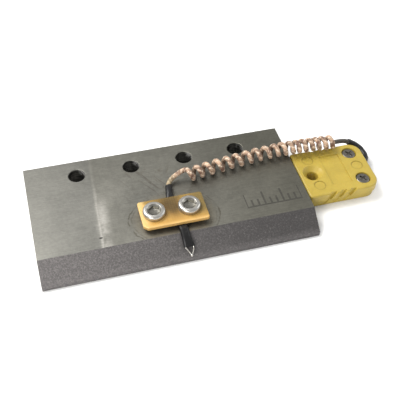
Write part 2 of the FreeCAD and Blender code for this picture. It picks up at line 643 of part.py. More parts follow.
def terminal_washers():
    washers = []
    low = washer_underside()
    bore = TERMINAL_SCREW_DIAMETER + 2 * TERMINAL_CLEARANCE
    for side in CONTACT_SIDES.values():
        y = side * CONTACT_SPACING / 2
        ring = cylinder(WASHER_DIAMETER, TERMINAL_X, y, low, low + WASHER_THICKNESS)
        washers.append(ring.cut(cylinder(bore, TERMINAL_X, y, low, low + WASHER_THICKNESS)))
    return to_connector(Part.makeCompound(washers))


def terminal_screw_top():
    return washer_underside() + WASHER_THICKNESS + TERMINAL_HEAD_HEIGHT


def terminal_screws():
    screws = []
    seat = washer_underside() + WASHER_THICKNESS
    top = terminal_screw_top()
    for side in CONTACT_SIDES.values():
        y = side * CONTACT_SPACING / 2
        head = cylinder(TERMINAL_HEAD_DIAMETER, TERMINAL_X, y, seat, top)
        shank = cylinder(TERMINAL_SCREW_DIAMETER, TERMINAL_X, y, SHELL_WALL, seat)
        slot = box(TERMINAL_X - TERMINAL_HEAD_DIAMETER, TERMINAL_X + TERMINAL_HEAD_DIAMETER,
                   y - TERMINAL_SLOT_WIDTH / 2, y + TERMINAL_SLOT_WIDTH / 2,
                   top - TERMINAL_SLOT_DEPTH, top)
        screws.append(head.fuse(shank).cut(slot))
    return to_connector(Part.makeCompound(screws))


def conductor(name, lead):
    """Bare core from the lead's end to under its terminal washer."""
    side = CONTACT_SIDES[name]
    start = V(TAIL_ROUTE[-1][0], TAIL_ROUTE[-1][1], CAVITY_MIDDLE)
    pad = V(TERMINAL_X + CONDUCTOR_OFFSET, 0, SHELL_WALL + CONTACT_LEAF + CONDUCTOR_DIAMETER / 2)
    terminal_y = side * CONTACT_SPACING / 2
    points = [
        start + V(0, CORE_START_ACROSS * side, 0),
        start + V(CORE_LEAVES[0], CORE_LEAVES[1] * side, CORE_LEAVES[2]),
        pad + V(CORE_BEFORE_PAD[0], start.y + CORE_BEFORE_PAD[1] * side, CORE_BEFORE_PAD[2]),
        pad + V(CORE_ON_PAD[0], terminal_y + CORE_ON_PAD[1] * side, 0),
        pad + V(0, terminal_y + CORE_END_PAST_TERMINAL * side, 0),
    ]
    edges = route([CONNECTOR_ORIGIN + point for point in points])
    return tube(edges, CONDUCTOR_DIAMETER).cut(lead)


# ---- assembly --------------------------------------------------------------------------------

def report_bends(name, edges, diameter):
    radii = ", ".join("%.2f" % radius for radius in bend_radii(edges))
    length = sum(edge.Length for edge in edges)
    solid = tube(edges, diameter)
    expected = length * math.pi * diameter ** 2 / 4
    print("%s: diameter %.2f, length %.2f, bend radii %s" % (name, diameter, length, radii))
    print("%s: volume %.3f, section times length %.3f" % (name, solid.Volume, expected))


def build():
    bar = hot_bar()
    coil = tube(route(coil_points()), COIL_DIAMETER)
    lead_start = tube(lead_start_edges(), LEAD_DIAMETER).cut(coil)
    lead_tail = tube(route(tail_points()), LEAD_DIAMETER).cut(coil)
    wire_positive = sensor_wire(-1, [lead_start])
    wire_negative = sensor_wire(1, [lead_start, wire_positive])
    parts = {
        "hot_bar": bar,
        "clamp_plate": clamp_plate(),
        "clamp_screw_left": clamp_screw(CLAMP_SCREW_XS[0]),
        "clamp_screw_right": clamp_screw(CLAMP_SCREW_XS[1]),
        "sensor_wire_positive": wire_positive,
        "sensor_wire_negative": wire_negative,
        "junction_bead": junction_bead(bar),
        "sensor_sleeve": sensor_sleeve([lead_start, bar, wire_positive, wire_negative]),
        "lead_start": lead_start,
        "lead_coil": coil,
        "lead_tail": lead_tail,
        "tail_sleeve": tail_sleeve(),
        "connector_cover": connector_cover(),
        "connector_base": connector_base(),
        "cover_screws": cover_screws(),
        "cover_nuts": cover_nuts(),
        "contact_positive": contact("positive"),
        "contact_negative": contact("negative"),
        "terminal_washers": terminal_washers(),
        "terminal_screws": terminal_screws(),
        "conductor_positive": conductor("positive", lead_tail),
        "conductor_negative": conductor("negative", lead_tail),
    }
    report_bends("lead_start", lead_start_edges(), LEAD_DIAMETER)
    report_bends("lead_coil", route(coil_points()), COIL_DIAMETER)
    report_bends("lead_tail", route(tail_points()), LEAD_DIAMETER)
    return parts


def main():
    os.makedirs("parts", exist_ok=True)
    for name, shape in build().items():
        if not shape.isValid() or not shape.Solids:
            raise ValueError(name + " is not a valid solid")
        shape.exportStep("parts/" + name + ".step")
        print("%-22s solids %d volume %.2f" % (name, len(shape.Solids), shape.Volume))


main()
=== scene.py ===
"""Hot-bar bonding head: a steel bar with a clamped thermocouple, its curly lead and its connector.

The head lies on its back. X runs along the working edge, +Y towards the mounting holes, +Z up. Each
piece has an operator in the 3D view's sidebar, and main() makes them all in order.
"""
import math

import bpy
from mathutils import Matrix, Vector


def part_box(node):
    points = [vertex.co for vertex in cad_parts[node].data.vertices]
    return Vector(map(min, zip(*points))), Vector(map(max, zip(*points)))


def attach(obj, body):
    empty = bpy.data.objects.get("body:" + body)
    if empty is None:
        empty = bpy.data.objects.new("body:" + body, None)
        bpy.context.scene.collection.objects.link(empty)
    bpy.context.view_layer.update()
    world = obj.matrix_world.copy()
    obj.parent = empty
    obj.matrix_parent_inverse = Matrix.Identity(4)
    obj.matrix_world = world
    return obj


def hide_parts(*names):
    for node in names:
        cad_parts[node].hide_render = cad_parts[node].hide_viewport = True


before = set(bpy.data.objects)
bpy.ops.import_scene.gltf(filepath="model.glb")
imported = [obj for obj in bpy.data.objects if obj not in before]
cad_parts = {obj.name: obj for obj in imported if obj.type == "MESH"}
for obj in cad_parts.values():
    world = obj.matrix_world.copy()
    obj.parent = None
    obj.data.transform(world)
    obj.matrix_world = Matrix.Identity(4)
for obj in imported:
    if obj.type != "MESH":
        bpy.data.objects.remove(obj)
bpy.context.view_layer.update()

bl_info = {
    "name": "Hot-bar bonding head",
    "version": (1, 0, 0),
    "blender": (4, 5, 0),
    "location": "3D View > Sidebar > Bonding head",
    "description": "Makes the finished pieces of a hot-bar bonding head round its frame",
    "category": "Object",
}

MM = 0.001
BAR_LOW, BAR_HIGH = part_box("hot_bar")
PLATE_LOW, PLATE_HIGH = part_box("clamp_plate")
COVER_LOW, COVER_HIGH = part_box("connector_cover")
CLAMP_MIDDLE = (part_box("clamp_screw_left")[0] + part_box("clamp_screw_right")[1]) / 2

# Middle of the sleeve's rear end, and of the connector's front edge at its base
SLEEVE_REAR_END = Vector((0.5, 2.3, 5.85)) * MM
CONNECTOR_ORIGIN = Vector((COVER_LOW.x, (COVER_LOW.y + COVER_HIGH.y) / 2, 0))
CAVITY_MIDDLE = 2.3 * MM

# Route of the lead in millimetres: from the sleeve to its curls, and from its curls into the
# connector, each from its own end's place
LEAD_START_ROUTE = [
    (-0.06, -0.45, 0.0), (0.12, 0.75, 0.02), (0.95, 1.75, 0.3), (2.6, 2.45, 1.15), (4.6, 2.6, 2.15),
]
LEAD_TAIL_ROUTE = [
    (12.6, 8.5, 3.3), (14.6, 9.2, 2.6), (16.7, 9.6, 2.0), (18.7, 9.1, 1.2), (20.3, 7.7, 0.5),
    (20.9, 5.7, 0.1), (20.7, 3.9, 0.0), (19.6, 2.4, 0.0), (17.8, 1.4, 0.0), (15.9, 1.0, 0.0),
    (14.0, 0.9, 0.0),
]
# Middle line of the curls, in millimetres
CURL_LINE = [
    (5.85, 4.0, 6.95), (12.0, 5.0, 6.95), (25.0, 6.7, 7.0), (36.0, 7.3, 7.0), (46.4, 6.5, 6.95),
]


# ---- settings ----

def colour_property(name, description, value):
    return bpy.props.FloatVectorProperty(
        name=name, description=description, default=value, subtype="COLOR", size=3, min=0, max=1)


def length_property(name, description, value):
    return bpy.props.FloatProperty(
        name=name, description=description, default=value, min=0, unit="LENGTH")


class HEAD_PG_steel(bpy.types.PropertyGroup):
    ground: colour_property("Ground faces", "Colour of the ground faces", (0.19, 0.186, 0.163))
    cut: colour_property("Wire-cut faces", "Colour of the rough slope", (0.125, 0.117, 0.115))
    tint: colour_property("Heat tint", "Brown of the ring round the clamp", (0.135, 0.112, 0.068))
    edge: length_property("Edge break", "Width of the broken edges", 0.12 * MM)


class HEAD_PG_clamp(bpy.types.PropertyGroup):
    board: colour_property("Board", "Colour of the epoxy board", (0.48, 0.275, 0.07))
    board_dark: colour_property("Board, shaded", "Its darker middle", (0.04, 0.027, 0.01))
    board_pale: colour_property("Board, pale", "Its pale ends", (0.80, 0.56, 0.24))
    plate_metal: colour_property("Screws", "Colour of the plated screws", (0.50, 0.485, 0.45))


class HEAD_PG_lead(bpy.types.PropertyGroup):
    diameter: length_property("Diameter", "Diameter of the braided lead", 1.2 * MM)
    curl_radius: length_property("Curl radius", "From the curls' line to the lead", 1.34 * MM)
    first_pitch: length_property("First pitch", "Rise of the first curls", 2.68 * MM)
    last_pitch: length_property("Last pitch", "Rise of the last curls", 1.78 * MM)
    braid: colour_property("Braid", "Main colour of the braid", (0.40, 0.27, 0.18))
    fleck_light: colour_property("Light flecks", "Cream tracer threads", (0.74, 0.60, 0.46))
    fleck_dark: colour_property("Dark flecks", "Brown tracer threads", (0.13, 0.062, 0.038))
    sleeve: colour_property("Sleeve", "Colour of the shrink sleeve", (0.0035, 0.0033, 0.0036))


class HEAD_PG_connector(bpy.types.PropertyGroup):
    shell: colour_property("Shell", "Colour of the connector's shells", (0.40, 0.295, 0.046))
    edge: length_property("Edge", "Radius of the shells' small edges", 0.14 * MM)


class HEAD_PG_stage(bpy.types.PropertyGroup):
    floor: colour_property("Floor", "Colour of the floor", (0.93, 0.93, 0.925))
    key_power: bpy.props.FloatProperty(name="Key light", description="Power of the large light",
                                       default=1.0, min=0)
    lens: bpy.props.FloatProperty(name="Lens", description="Focal length",
                                  default=65.1, unit="CAMERA")


def settings(name):
    return getattr(bpy.context.scene, "head_" + name)


# ---- node trees ----

class Tree:
    """Short calls for a node tree: each makes a node, fills its inputs and gives an output."""

    def __init__(self, tree, place=None):
        self.tree = tree
        self.place = place

    def put(self, socket, value):
        if isinstance(value, bpy.types.NodeSocket):
            self.tree.links.new(value, socket)
        elif value is not None:
            socket.default_value = value

    def node(self, kind, values=(), out=0, **facts):
        made = self.tree.nodes.new(kind)
        for name, value in facts.items():
            setattr(made, name, value)
        for name, value in dict(values).items():
            self.put(made.inputs[name], value)
        return made.outputs[out]

    def math(self, operation, a, b=None):
        return self.node("ShaderNodeMath", {0: a, 1: b}, operation=operation)

    def add(self, a, b):
        return self.math("ADD", a, b)

    def times(self, a, b):
        return self.math("MULTIPLY", a, b)

    def mix(self, factor, a, b, blend="MIX"):
        made = self.tree.nodes.new("ShaderNodeMix")
        made.data_type = "RGBA"
        made.blend_type = blend
        self.put(made.inputs[0], factor)
        self.put(made.inputs[6], rgba(a))
        self.put(made.inputs[7], rgba(b))
        return made.outputs[2]

    def over(self, base, colour, mask, share):
        """A colour laid over a base where a mask is, up to a share."""
        return self.mix(self.times(mask, share), base, colour)

    def step(self, value, low, high, to_low=0.0, to_high=1.0):
        """Smooth step of a value from low to high."""
        facts = {0: value, 1: low, 2: high, 3: to_low, 4: to_high}
        return self.node("ShaderNodeMapRange", facts, interpolation_type="SMOOTHSTEP")

    def noise(self, scale, detail, roughness, at=None, stretch=None, distortion=0.0, colour=False):
        at = at or self.place
        if stretch is not None:
            at = self.node("ShaderNodeVectorMath", {0: at, 1: stretch}, operation="MULTIPLY")
        facts = {"Vector": at, "Scale": scale, "Detail": detail, "Roughness": roughness,
                 "Distortion": distortion}
        return self.node("ShaderNodeTexNoise", facts, out=1 if colour else 0)

    def axes(self, vector=None):
        made = self.tree.nodes.new("ShaderNodeSeparateXYZ")
        self.put(made.inputs[0], vector or self.place)
        return made.outputs

    def group(self, tree, values=()):
        """A shared group at the place on the piece."""
        made = self.tree.nodes.new("ShaderNodeGroup")
        made.node_tree = tree
        for name, value in {"Vector": self.place, **dict(values)}.items():
            self.put(made.inputs[name], value)
        return made.outputs


def rgba(value):
    if isinstance(value, bpy.types.NodeSocket) or not hasattr(value, "__len__"):
        return value
    return (*value, 1.0) if len(value) == 3 else tuple(value)


def scaled(colour, factor):
    return tuple(min(1.0, c * factor) for c in colour[:3])


def new_group(name, inputs, outputs):
    """Empty shader group with named sockets; gives its tree, what comes in and what goes out."""
    tree = bpy.data.node_groups.new(name, "ShaderNodeTree")
    for label, kind, value in inputs:
        socket = tree.interface.new_socket(name=label, in_out="INPUT", socket_type=kind)
        if value is not None:
            socket.default_value = rgba(value)
    for label, kind in outputs:
        tree.interface.new_socket(name=label, in_out="OUTPUT", socket_type=kind)
    given = tree.nodes.new("NodeGroupInput").outputs
    taken = tree.nodes.new("NodeGroupOutput").inputs
    return Tree(tree, given["Vector"]), given, taken


def shared_group(name, make):
    return bpy.data.node_groups.get(name) or make(name)


def speckle_group(name):
    """Fine grain in a colour, with its mask."""
    tree, given, taken = new_group(name, [
        ("Vector", "NodeSocketVector", None), ("Colour", "NodeSocketColor", (0.5, 0.5, 0.5)),
        ("Scale", "NodeSocketFloat", 1000.0), ("Amount", "NodeSocketFloat", 0.3),
    ], [("Colour", "NodeSocketColor"), ("Mask", "NodeSocketFloat")])
    fine = tree.noise(given["Scale"], 3.0, 0.7)
    mask = tree.step(fine, 0.3, 0.7)
    swing = tree.times(tree.math("SUBTRACT", mask, 0.5), given["Amount"])
    bright = tree.add(swing, 1.0)
    shade = tree.node("ShaderNodeCombineColor", {0: bright, 1: bright, 2: bright})
    tree.put(taken["Colour"], tree.mix(1.0, given["Colour"], shade, "MULTIPLY"))
    tree.put(taken["Mask"], mask)
    return tree.tree


def wear_group(name):
    """Soft uneven handling marks: a broad mask and a fine one, for roughness and colour."""
    tree, given, taken = new_group(name, [
        ("Vector", "NodeSocketVector", None), ("Broad scale", "NodeSocketFloat", 120.0),
        ("Fine scale", "NodeSocketFloat", 900.0),
    ], [("Broad", "NodeSocketFloat"), ("Fine", "NodeSocketFloat")])
    broad = tree.noise(given["Broad scale"], 4.0, 0.6)
    fine = tree.noise(given["Fine scale"], 2.0, 0.5)
    tree.put(taken["Broad"], tree.step(broad, 0.35, 0.7))
    tree.put(taken["Fine"], tree.step(fine, 0.35, 0.65))
    return tree.tree


class Finish(Tree):
    """A material's node tree, with its shader and the place on the piece."""

    def __init__(self, name):
        self.material = bpy.data.materials.new("finish_" + name)
        self.material.use_nodes = True
        super().__init__(self.material.node_tree)
        self.shader = self.tree.nodes["Principled BSDF"]
        self.place = self.node("ShaderNodeTexCoord", out="Object")

    def wear_and_glint(self, wear, broad, fine, rest):
        """Roughness from the wear group's two masks over a resting value."""
        marks = self.add(self.times(wear["Broad"], broad), self.times(wear["Fine"], fine))
        return self.add(marks, rest)

    def complete(self, colour, roughness, height, depth, values=(), strength=1.0):
        """Fills the shader's sockets, and its normal from a height map; gives the material."""
        facts = {"Height": height, "Distance": depth, "Strength": strength}
        normal = self.node("ShaderNodeBump", facts)
        own = {"Base Color": colour, "Roughness": roughness, "Normal": normal, **dict(values)}
        for name, value in own.items():
            self.put(self.shader.inputs[name], value)
        return self.material


# ---- materials ----

def ellipse(tree, x, y, middle, radii):
    """How far out a place is from an ellipse's middle, 1 on its line."""
    across = tree.math("DIVIDE", tree.math("SUBTRACT", x, middle[0]), radii[0])
    up = tree.math("DIVIDE", tree.math("SUBTRACT", y, middle[1]), radii[1])
    square = tree.add(tree.times(across, across), tree.times(up, up))
    return tree.math("SQRT", square)


def band(tree, value, low, high, soft):
    """1 between low and high, with soft sides."""
    rise = tree.step(value, low - soft, low + soft)
    fall = tree.step(value, high - soft, high + soft, 1.0, 0.0)
    return tree.times(rise, fall)


# Tones of the ground faces, painted shade and a painted reflection among them, and of the marks on
# them
RIGHT_PAINTED_SHADE = (0.112, 0.108, 0.084)
REAR_PAINTED_SHADE = (0.10, 0.098, 0.08)
LEFT_REFLECTION_STEEL = (0.165, 0.165, 0.155)
BRIGHT_REFLECTION_STEEL = (0.56, 0.54, 0.50)
SMUDGE = (0.085, 0.068, 0.046)
PIT = (0.03, 0.028, 0.026)
SCRATCH = (0.10, 0.09, 0.075)
ETCHED = (0.055, 0.053, 0.047)

# Places of the marks on the bar's top
RING_MIDDLE = (CLAMP_MIDDLE.x + 0.6 * MM, CLAMP_MIDDLE.y - 0.6 * MM)
RING_RADII = (11.2 * MM, 8.6 * MM)
SMUDGE_MIDDLE, SMUDGE_RADII = (-3.0 * MM, 4.0 * MM), (10.0 * MM, 9.5 * MM)
PIT_MIDDLE, PIT_RADII = (-18.6 * MM, -9.3 * MM), (0.55 * MM, 0.3 * MM)
SCRATCH_MIDDLE, SCRATCH_RADII = (-4.0 * MM, 5.0 * MM), (8.0 * MM, 8.5 * MM)
SEAM_SLANT = -0.055


def ground_steel():
    """Surface-ground steel: grinding lines, stains, a heat-tinted ring and a plain etched mark."""
    own = settings("steel")
    tree = Finish("ground_steel")
    x, y, _ = tree.axes()
    lines = tree.noise(240.0, 3.0, 0.65, stretch=(1.0, 26.0, 26.0))
    hair = tree.noise(900.0, 2.0, 0.5, stretch=(0.5, 14.0, 14.0))
    stains = tree.noise(60.0, 4.0, 0.6, distortion=0.4)
    patches = tree.noise(170.0, 4.0, 0.65)
    wobble = tree.times(tree.math("SUBTRACT", patches, 0.5), 2.2 * MM)

    # Broad tones, with painted shade darker to the right and the rear, and a painted reflection at
    # the left
    stained = tree.step(stains, 0.3, 0.72)
    base = tree.mix(stained, scaled(own.ground, 0.86), scaled(own.ground, 1.12))
    # Painted shade: the top is darkened towards its right end and towards its rear
    base = tree.over(base, RIGHT_PAINTED_SHADE, tree.step(x, -10 * MM, 34 * MM), 0.72)
    base = tree.mix(tree.step(y, -2 * MM, 17 * MM, 0.0, 0.3), base, REAR_PAINTED_SHADE)
    # Painted reflection: another tone left of a slanted line, a bright edge along it and a bright
    # band beside it towards the front
    seam_x = tree.add(tree.add(x, tree.times(y, SEAM_SLANT)), tree.times(wobble, 0.25))
    base = tree.over(base, LEFT_REFLECTION_STEEL, tree.step(seam_x, -18.6 * MM, -18.1 * MM, 1.0, 0.0), 0.42)
    reflection_band = tree.times(band(tree, seam_x, -18.2 * MM, -15.8 * MM, 1.2 * MM),
                             tree.step(y, 6 * MM, -4 * MM))
    reflection_band = tree.times(reflection_band, tree.step(patches, 0.28, 0.62))
    reflection_edge = tree.times(band(tree, seam_x, -18.25 * MM, -17.6 * MM, 0.35 * MM),
                      tree.step(y, 12 * MM, -6 * MM, 0.15, 0.9))
    # Painted reflection: the bright edge and band together
    bright = tree.math("MAXIMUM", tree.times(reflection_band, 0.55), tree.times(reflection_edge, 0.5))
    base = tree.mix(bright, base, BRIGHT_REFLECTION_STEEL)

    # The ring that heat has left round the clamp
    around = tree.add(ellipse(tree, x, y, RING_MIDDLE, RING_RADII),
                      tree.times(tree.math("SUBTRACT", patches, 0.5), 0.2))
    inside = tree.step(around, 0.78, 1.02, 1.0, 0.0)
    rim = tree.math("MAXIMUM", band(tree, around, 0.985, 1.005, 0.018),
                    tree.times(band(tree, around, 0.925, 0.94, 0.015), 0.6))
    broken = tree.step(tree.noise(420.0, 2.0, 0.5), 0.42, 0.6)
    base = tree.over(base, own.tint, inside, 0.4)
    base = tree.over(base, scaled(own.tint, 0.36), tree.times(rim, broken), 0.75)

    # Handling marks
    smudge = tree.step(tree.noise(330.0, 5.0, 0.7, distortion=1.2), 0.52, 0.72)
    close = tree.step(ellipse(tree, x, y, SMUDGE_MIDDLE, SMUDGE_RADII), 0.5, 1.15, 1.0, 0.0)
    base = tree.over(base, SMUDGE, tree.times(smudge, close), 0.5)
    pit = tree.step(ellipse(tree, x, y, PIT_MIDDLE, PIT_RADII), 0.5, 1.2, 1.0, 0.0)
    base = tree.over(base, PIT, pit, 0.85)
    scratches = scratch_mask(tree, x, y)
    base = tree.over(base, SCRATCH, scratches, 0.55)
    mark = etched_mark(tree, x, y)
    base = tree.over(base, ETCHED, mark, 0.74)

    grain = tree.group(shared_group("speckle", speckle_group),
                       {"Colour": base, "Scale": 1500.0, "Amount": 0.16})
    streak = tree.step(lines, 0.3, 0.7, 0.9, 1.1)
    shade = tree.node("ShaderNodeCombineColor", {0: streak, 1: streak, 2: streak})
    base = tree.mix(1.0, grain["Colour"], shade, "MULTIPLY")
    wear = tree.group(shared_group("wear", wear_group))
    marks = tree.add(tree.times(mark, 0.2), tree.times(inside, 0.05))
    rough = tree.add(tree.wear_and_glint(wear, 0.07, 0.05, marks), 0.37)
    height = tree.add(tree.times(lines, 0.6), tree.times(hair, 0.4))
    cuts = tree.add(tree.times(scratches, 0.8), tree.times(mark, 0.5))
    height = tree.math("SUBTRACT", tree.math("SUBTRACT", height, cuts), tree.times(pit, 3.0))
    return tree.complete(base, rough, height, 0.006 * MM, {"Metallic": 0.82})


SLANT_X, SLANT_Y = 0.86, 0.5      # the direction across the slanted scratches


def scratch_mask(tree, x, y):
    """Slanted scratches behind the clamp and a few stray ones along the bar."""
    slant = tree.add(tree.times(x, SLANT_X), tree.times(y, SLANT_Y))
    along = tree.add(tree.times(x, -SLANT_Y), tree.times(y, SLANT_X))
    vector = tree.node("ShaderNodeCombineXYZ", {0: slant, 1: tree.times(along, 0.05)})
    ragged = tree.noise(260.0, 1.0, 0.4, colour=True)
    shift = tree.node("ShaderNodeVectorMath", {0: ragged, "Scale": 0.55 * MM}, operation="SCALE")
    vector = tree.node("ShaderNodeVectorMath", {0: vector, 1: shift}, operation="ADD")
    thin = tree.step(tree.noise(1400.0, 2.0, 0.5, vector), 0.59, 0.64)
    area = tree.step(ellipse(tree, x, y, SCRATCH_MIDDLE, SCRATCH_RADII), 0.5, 1.15, 1.0, 0.0)
    stray = tree.node("ShaderNodeCombineXYZ", {0: tree.times(slant, 0.06), 1: along})
    few = tree.step(tree.noise(700.0, 1.0, 0.4, stray), 0.745, 0.77)
    return tree.math("MAXIMUM", tree.times(thin, area), tree.times(few, 0.35))


SCALE_START = 17.9 * MM
SCALE_LENGTH = 14.4 * MM
SCALE_Y = -8.6 * MM
SCALE_LINE = 0.24 * MM            # half the width of the scale's line
TICK_PITCH = 1.6 * MM
LONG_TICK_PITCH = 4.8 * MM
TICK_TOP = -6.4 * MM
LONG_TICK_EXTRA = 2.2 * MM


def tick_distance(tree, x, pitch):
    """How far a place is from the nearest tick's middle, as a share of the pitch."""
    turns = tree.math("DIVIDE", tree.add(x, pitch / 2), pitch)
    return tree.math("ABSOLUTE", tree.math("SUBTRACT", tree.math("FRACT", turns), 0.5))


def etched_mark(tree, x, y):
    """A plain graduated scale etched near the right end: one line, long and short ticks."""
    local_x = tree.math("SUBTRACT", x, SCALE_START)
    along = band(tree, local_x, 0.0, SCALE_LENGTH, 0.03 * MM)
    across = band(tree, y, SCALE_Y - SCALE_LINE, SCALE_Y + SCALE_LINE, 0.04 * MM)
    line = tree.times(along, across)
    ticks = tree.step(tick_distance(tree, local_x, TICK_PITCH), 0.14, 0.18, 1.0, 0.0)
    is_long = tree.step(tick_distance(tree, local_x, LONG_TICK_PITCH), 0.06, 0.07, 1.0, 0.0)
    top = tree.add(tree.times(is_long, LONG_TICK_EXTRA), TICK_TOP)
    low = tree.step(y, SCALE_Y - 0.02 * MM, SCALE_Y + 0.04 * MM)
    high = tree.math("LESS_THAN", y, top)
    ticks = tree.times(tree.times(ticks, along), tree.times(low, high))
    return tree.math("MAXIMUM", line, ticks)


def wire_cut_steel():
    """Rough spark-cut steel of the slope and the working edge: matt, with a fine pitted grain,
    painted shade to the right and painted light low down.
    """
    own = settings("steel")
    tree = Finish("wire_cut_steel")
    x, _, z = tree.axes()
    grains = tree.noise(2600.0, 3.0, 0.75)
    coarse = tree.noise(900.0, 3.0, 0.7)
    rows = tree.noise(500.0, 2.0, 0.5, stretch=(1.0, 0.25, 0.25))
    # Painted shade: the slope's colour darkens from its left end towards the right
    painted_shade_rightward = tree.step(x, BAR_LOW.x, 30 * MM)
    base = tree.mix(painted_shade_rightward, scaled(own.cut, 1.55), scaled(own.cut, 0.66))
    # Painted light: the colour is lighter towards the bottom of the slope and the working edge
    base = tree.mix(tree.step(z, 1.5 * MM, 2.2 * MM, 0.3, 0.0), base, scaled(own.cut, 1.9))
    hollows = tree.times(tree.step(coarse, 0.55, 0.35), 0.6)
    dark = tree.math("MAXIMUM", tree.step(grains, 0.62, 0.40), hollows)
    base = tree.over(base, scaled(own.cut, 0.33), dark, 0.5)
    base = tree.over(base, scaled(own.cut, 2.6), tree.step(grains, 0.58, 0.72), 0.34)
    rough = tree.step(coarse, 0.3, 0.7, 0.52, 0.68)
    height = tree.add(tree.times(coarse, 0.8), tree.times(rows, 0.3))
    height = tree.add(tree.times(grains, 0.7), height)
    return tree.complete(base, rough, height, 0.05 * MM, {"Metallic": 0.55}, 0.9)


# Painted shade of the holes in the walls' two ring tones, and a painted highlight
BORE_SHADE_DARK, BORE_SHADE_PALE, BORE_GLINT = (0.022, 0.021, 0.018), (0.085, 0.082, 0.072), (0.78, 0.77, 0.74)


def bored_steel():
    """Drilled walls with turned rings in tones painted dark as shade in the holes, and a painted
    highlight near the top of the walls that face the light.
    """
    tree = Finish("bored_steel")
    rings = tree.noise(300.0, 2.0, 0.6, stretch=(1.0, 1.0, 9.0))
    # Painted shade: the turned rings' two tones are dark for the shade inside the holes
    base = tree.mix(tree.step(rings, 0.35, 0.65), BORE_SHADE_DARK, BORE_SHADE_PALE)
    facing = tree.node("ShaderNodeNewGeometry", out="Normal")
    # Painted highlight: near the top, the walls that face the light from the left are made bright
    near_top = tree.step(tree.axes()[2], BAR_HIGH.z - 2.0 * MM, BAR_HIGH.z - 0.6 * MM)
    wear_and_glint = tree.times(near_top, tree.step(tree.axes(facing)[0], -0.25, -0.75))
    wear_and_glint = tree.times(wear_and_glint, tree.step(tree.noise(900.0, 3.0, 0.7), 0.36, 0.56))
    base = tree.over(base, BORE_GLINT, wear_and_glint, 0.9)
    rough = tree.step(rings, 0.3, 0.7, 0.3, 0.45)
    return tree.complete(base, rough, rings, 0.02 * MM, {"Metallic": 0.7})


BOARD_OLIVE = (0.15, 0.11, 0.036)
BOARD_SHADE_RADII = (5.2 * MM, 5.8 * MM)
WEAVE_SCALE = 520.0


def epoxy_board():
    """Glass-cloth epoxy board: amber, darker over the sleeve, with a faint weave."""
    own = settings("clamp")
    tree = Finish("epoxy_board")
    x, y, z = tree.axes()
    cloudy = tree.noise(300.0, 4.0, 0.6)
    fibres = tree.noise(900.0, 2.0, 0.5, stretch=(1.0, 6.0, 1.0))
    wobble = tree.times(tree.math("SUBTRACT", cloudy, 0.5), 3 * MM)
    middle = (CLAMP_MIDDLE.x + 0.1 * MM, PLATE_LOW.y + 5.6 * MM)
    out = ellipse(tree, tree.add(x, wobble), tree.add(y, wobble), middle, BOARD_SHADE_RADII)
    shaded = tree.step(out, 0.2, 1.0, 1.0, 0.0)
    right = tree.step(x, CLAMP_MIDDLE.x + 1 * MM, PLATE_HIGH.x - 1 * MM)
    front = tree.step(tree.add(y, wobble), PLATE_LOW.y - 0.5 * MM, PLATE_LOW.y + 3.4 * MM)
    rear = tree.step(tree.add(y, wobble), PLATE_HIGH.y - 3.4 * MM, PLATE_HIGH.y, 0.0, 0.7)
    olive = tree.math("MAXIMUM", tree.times(tree.times(right, front), 0.92), rear)
    base = tree.mix(tree.step(cloudy, 0.3, 0.7), scaled(own.board, 0.9), scaled(own.board, 1.08))
    base = tree.mix(olive, base, BOARD_OLIVE)
    base = tree.over(base, own.board_dark, shaded, 0.88)
    left = tree.step(tree.add(x, wobble), PLATE_LOW.x + 2.6 * MM, PLATE_LOW.x + 0.2 * MM)
    base = tree.over(base, own.board_pale, left, 0.65)
    rim_low = tree.step(y, PLATE_LOW.y + 0.9 * MM, PLATE_LOW.y + 0.1 * MM)
    base = tree.over(base, own.board_pale, rim_low, 0.35)
    side = tree.step(z, PLATE_HIGH.z - 0.16 * MM, PLATE_HIGH.z - 0.08 * MM, 1.0, 0.0)
    base = tree.over(base, scaled(own.board, 0.72), side, 0.55)
    facts = {"Vector": tree.place, "Scale": WEAVE_SCALE, "Distortion": 1.5}
    warp, weft = (
        tree.node("ShaderNodeTexWave", facts, bands_direction=axis) for axis in ("X", "Y"))
    cloth = tree.times(tree.node("ShaderNodeSeparateColor", {0: warp}),
                       tree.node("ShaderNodeSeparateColor", {0: weft}))
    base = tree.over(base, own.board_pale, cloth, 0.05)
    rough = tree.step(fibres, 0.3, 0.7, 0.3, 0.44)
    values = {"Specular IOR Level": 0.3, "Subsurface Weight": 0.12,
              "Subsurface Radius": (0.5 * MM, 0.3 * MM, 0.12 * MM)}
    height = tree.add(tree.times(cloth, 0.5), fibres)
    return tree.complete(base, rough, height, 0.012 * MM, values)


def plated_metal(name, colour, roughness):
    """Bright plated screw metal: a little grime in broad patches, and fine uneven relief."""
    tree = Finish(name)
    wear = tree.group(shared_group("wear", wear_group),
                      {"Broad scale": 420.0, "Fine scale": 1300.0})
    base = tree.mix(tree.times(wear["Broad"], 0.3), colour, scaled(colour, 0.7))
    rough = tree.wear_and_glint(wear, 0.08, 0.04, roughness)
    return tree.complete(base, rough, wear["Fine"], 0.0015 * MM, {"Metallic": 1.0})


SLEEVE_DUST = (0.10, 0.09, 0.085)


def black_sleeve():
    """Satin black shrink sleeve with dust and faint stretch marks."""
    own = settings("lead")
    tree = Finish("black_sleeve")
    stretch = tree.noise(500.0, 3.0, 0.6, stretch=(1.0, 0.22, 1.0))
    dust = tree.noise(1800.0, 2.0, 0.6)
    base = tree.over(own.sleeve, SLEEVE_DUST, tree.step(dust, 0.58, 0.75), 0.12)
    rough = tree.step(stretch, 0.3, 0.7, 0.34, 0.5)
    values = {"Coat Weight": 0.12, "Specular IOR Level": 0.35, "Coat Roughness": 0.3}
    return tree.complete(base, rough, stretch, 0.03 * MM, values)


BRAID_SHADE = (0.07, 0.042, 0.022)
BRAID_NEAR_SLEEVE = (0.25, 0.215, 0.115)
BRAID_FAR_END = (0.03, 0.028, 0.024)


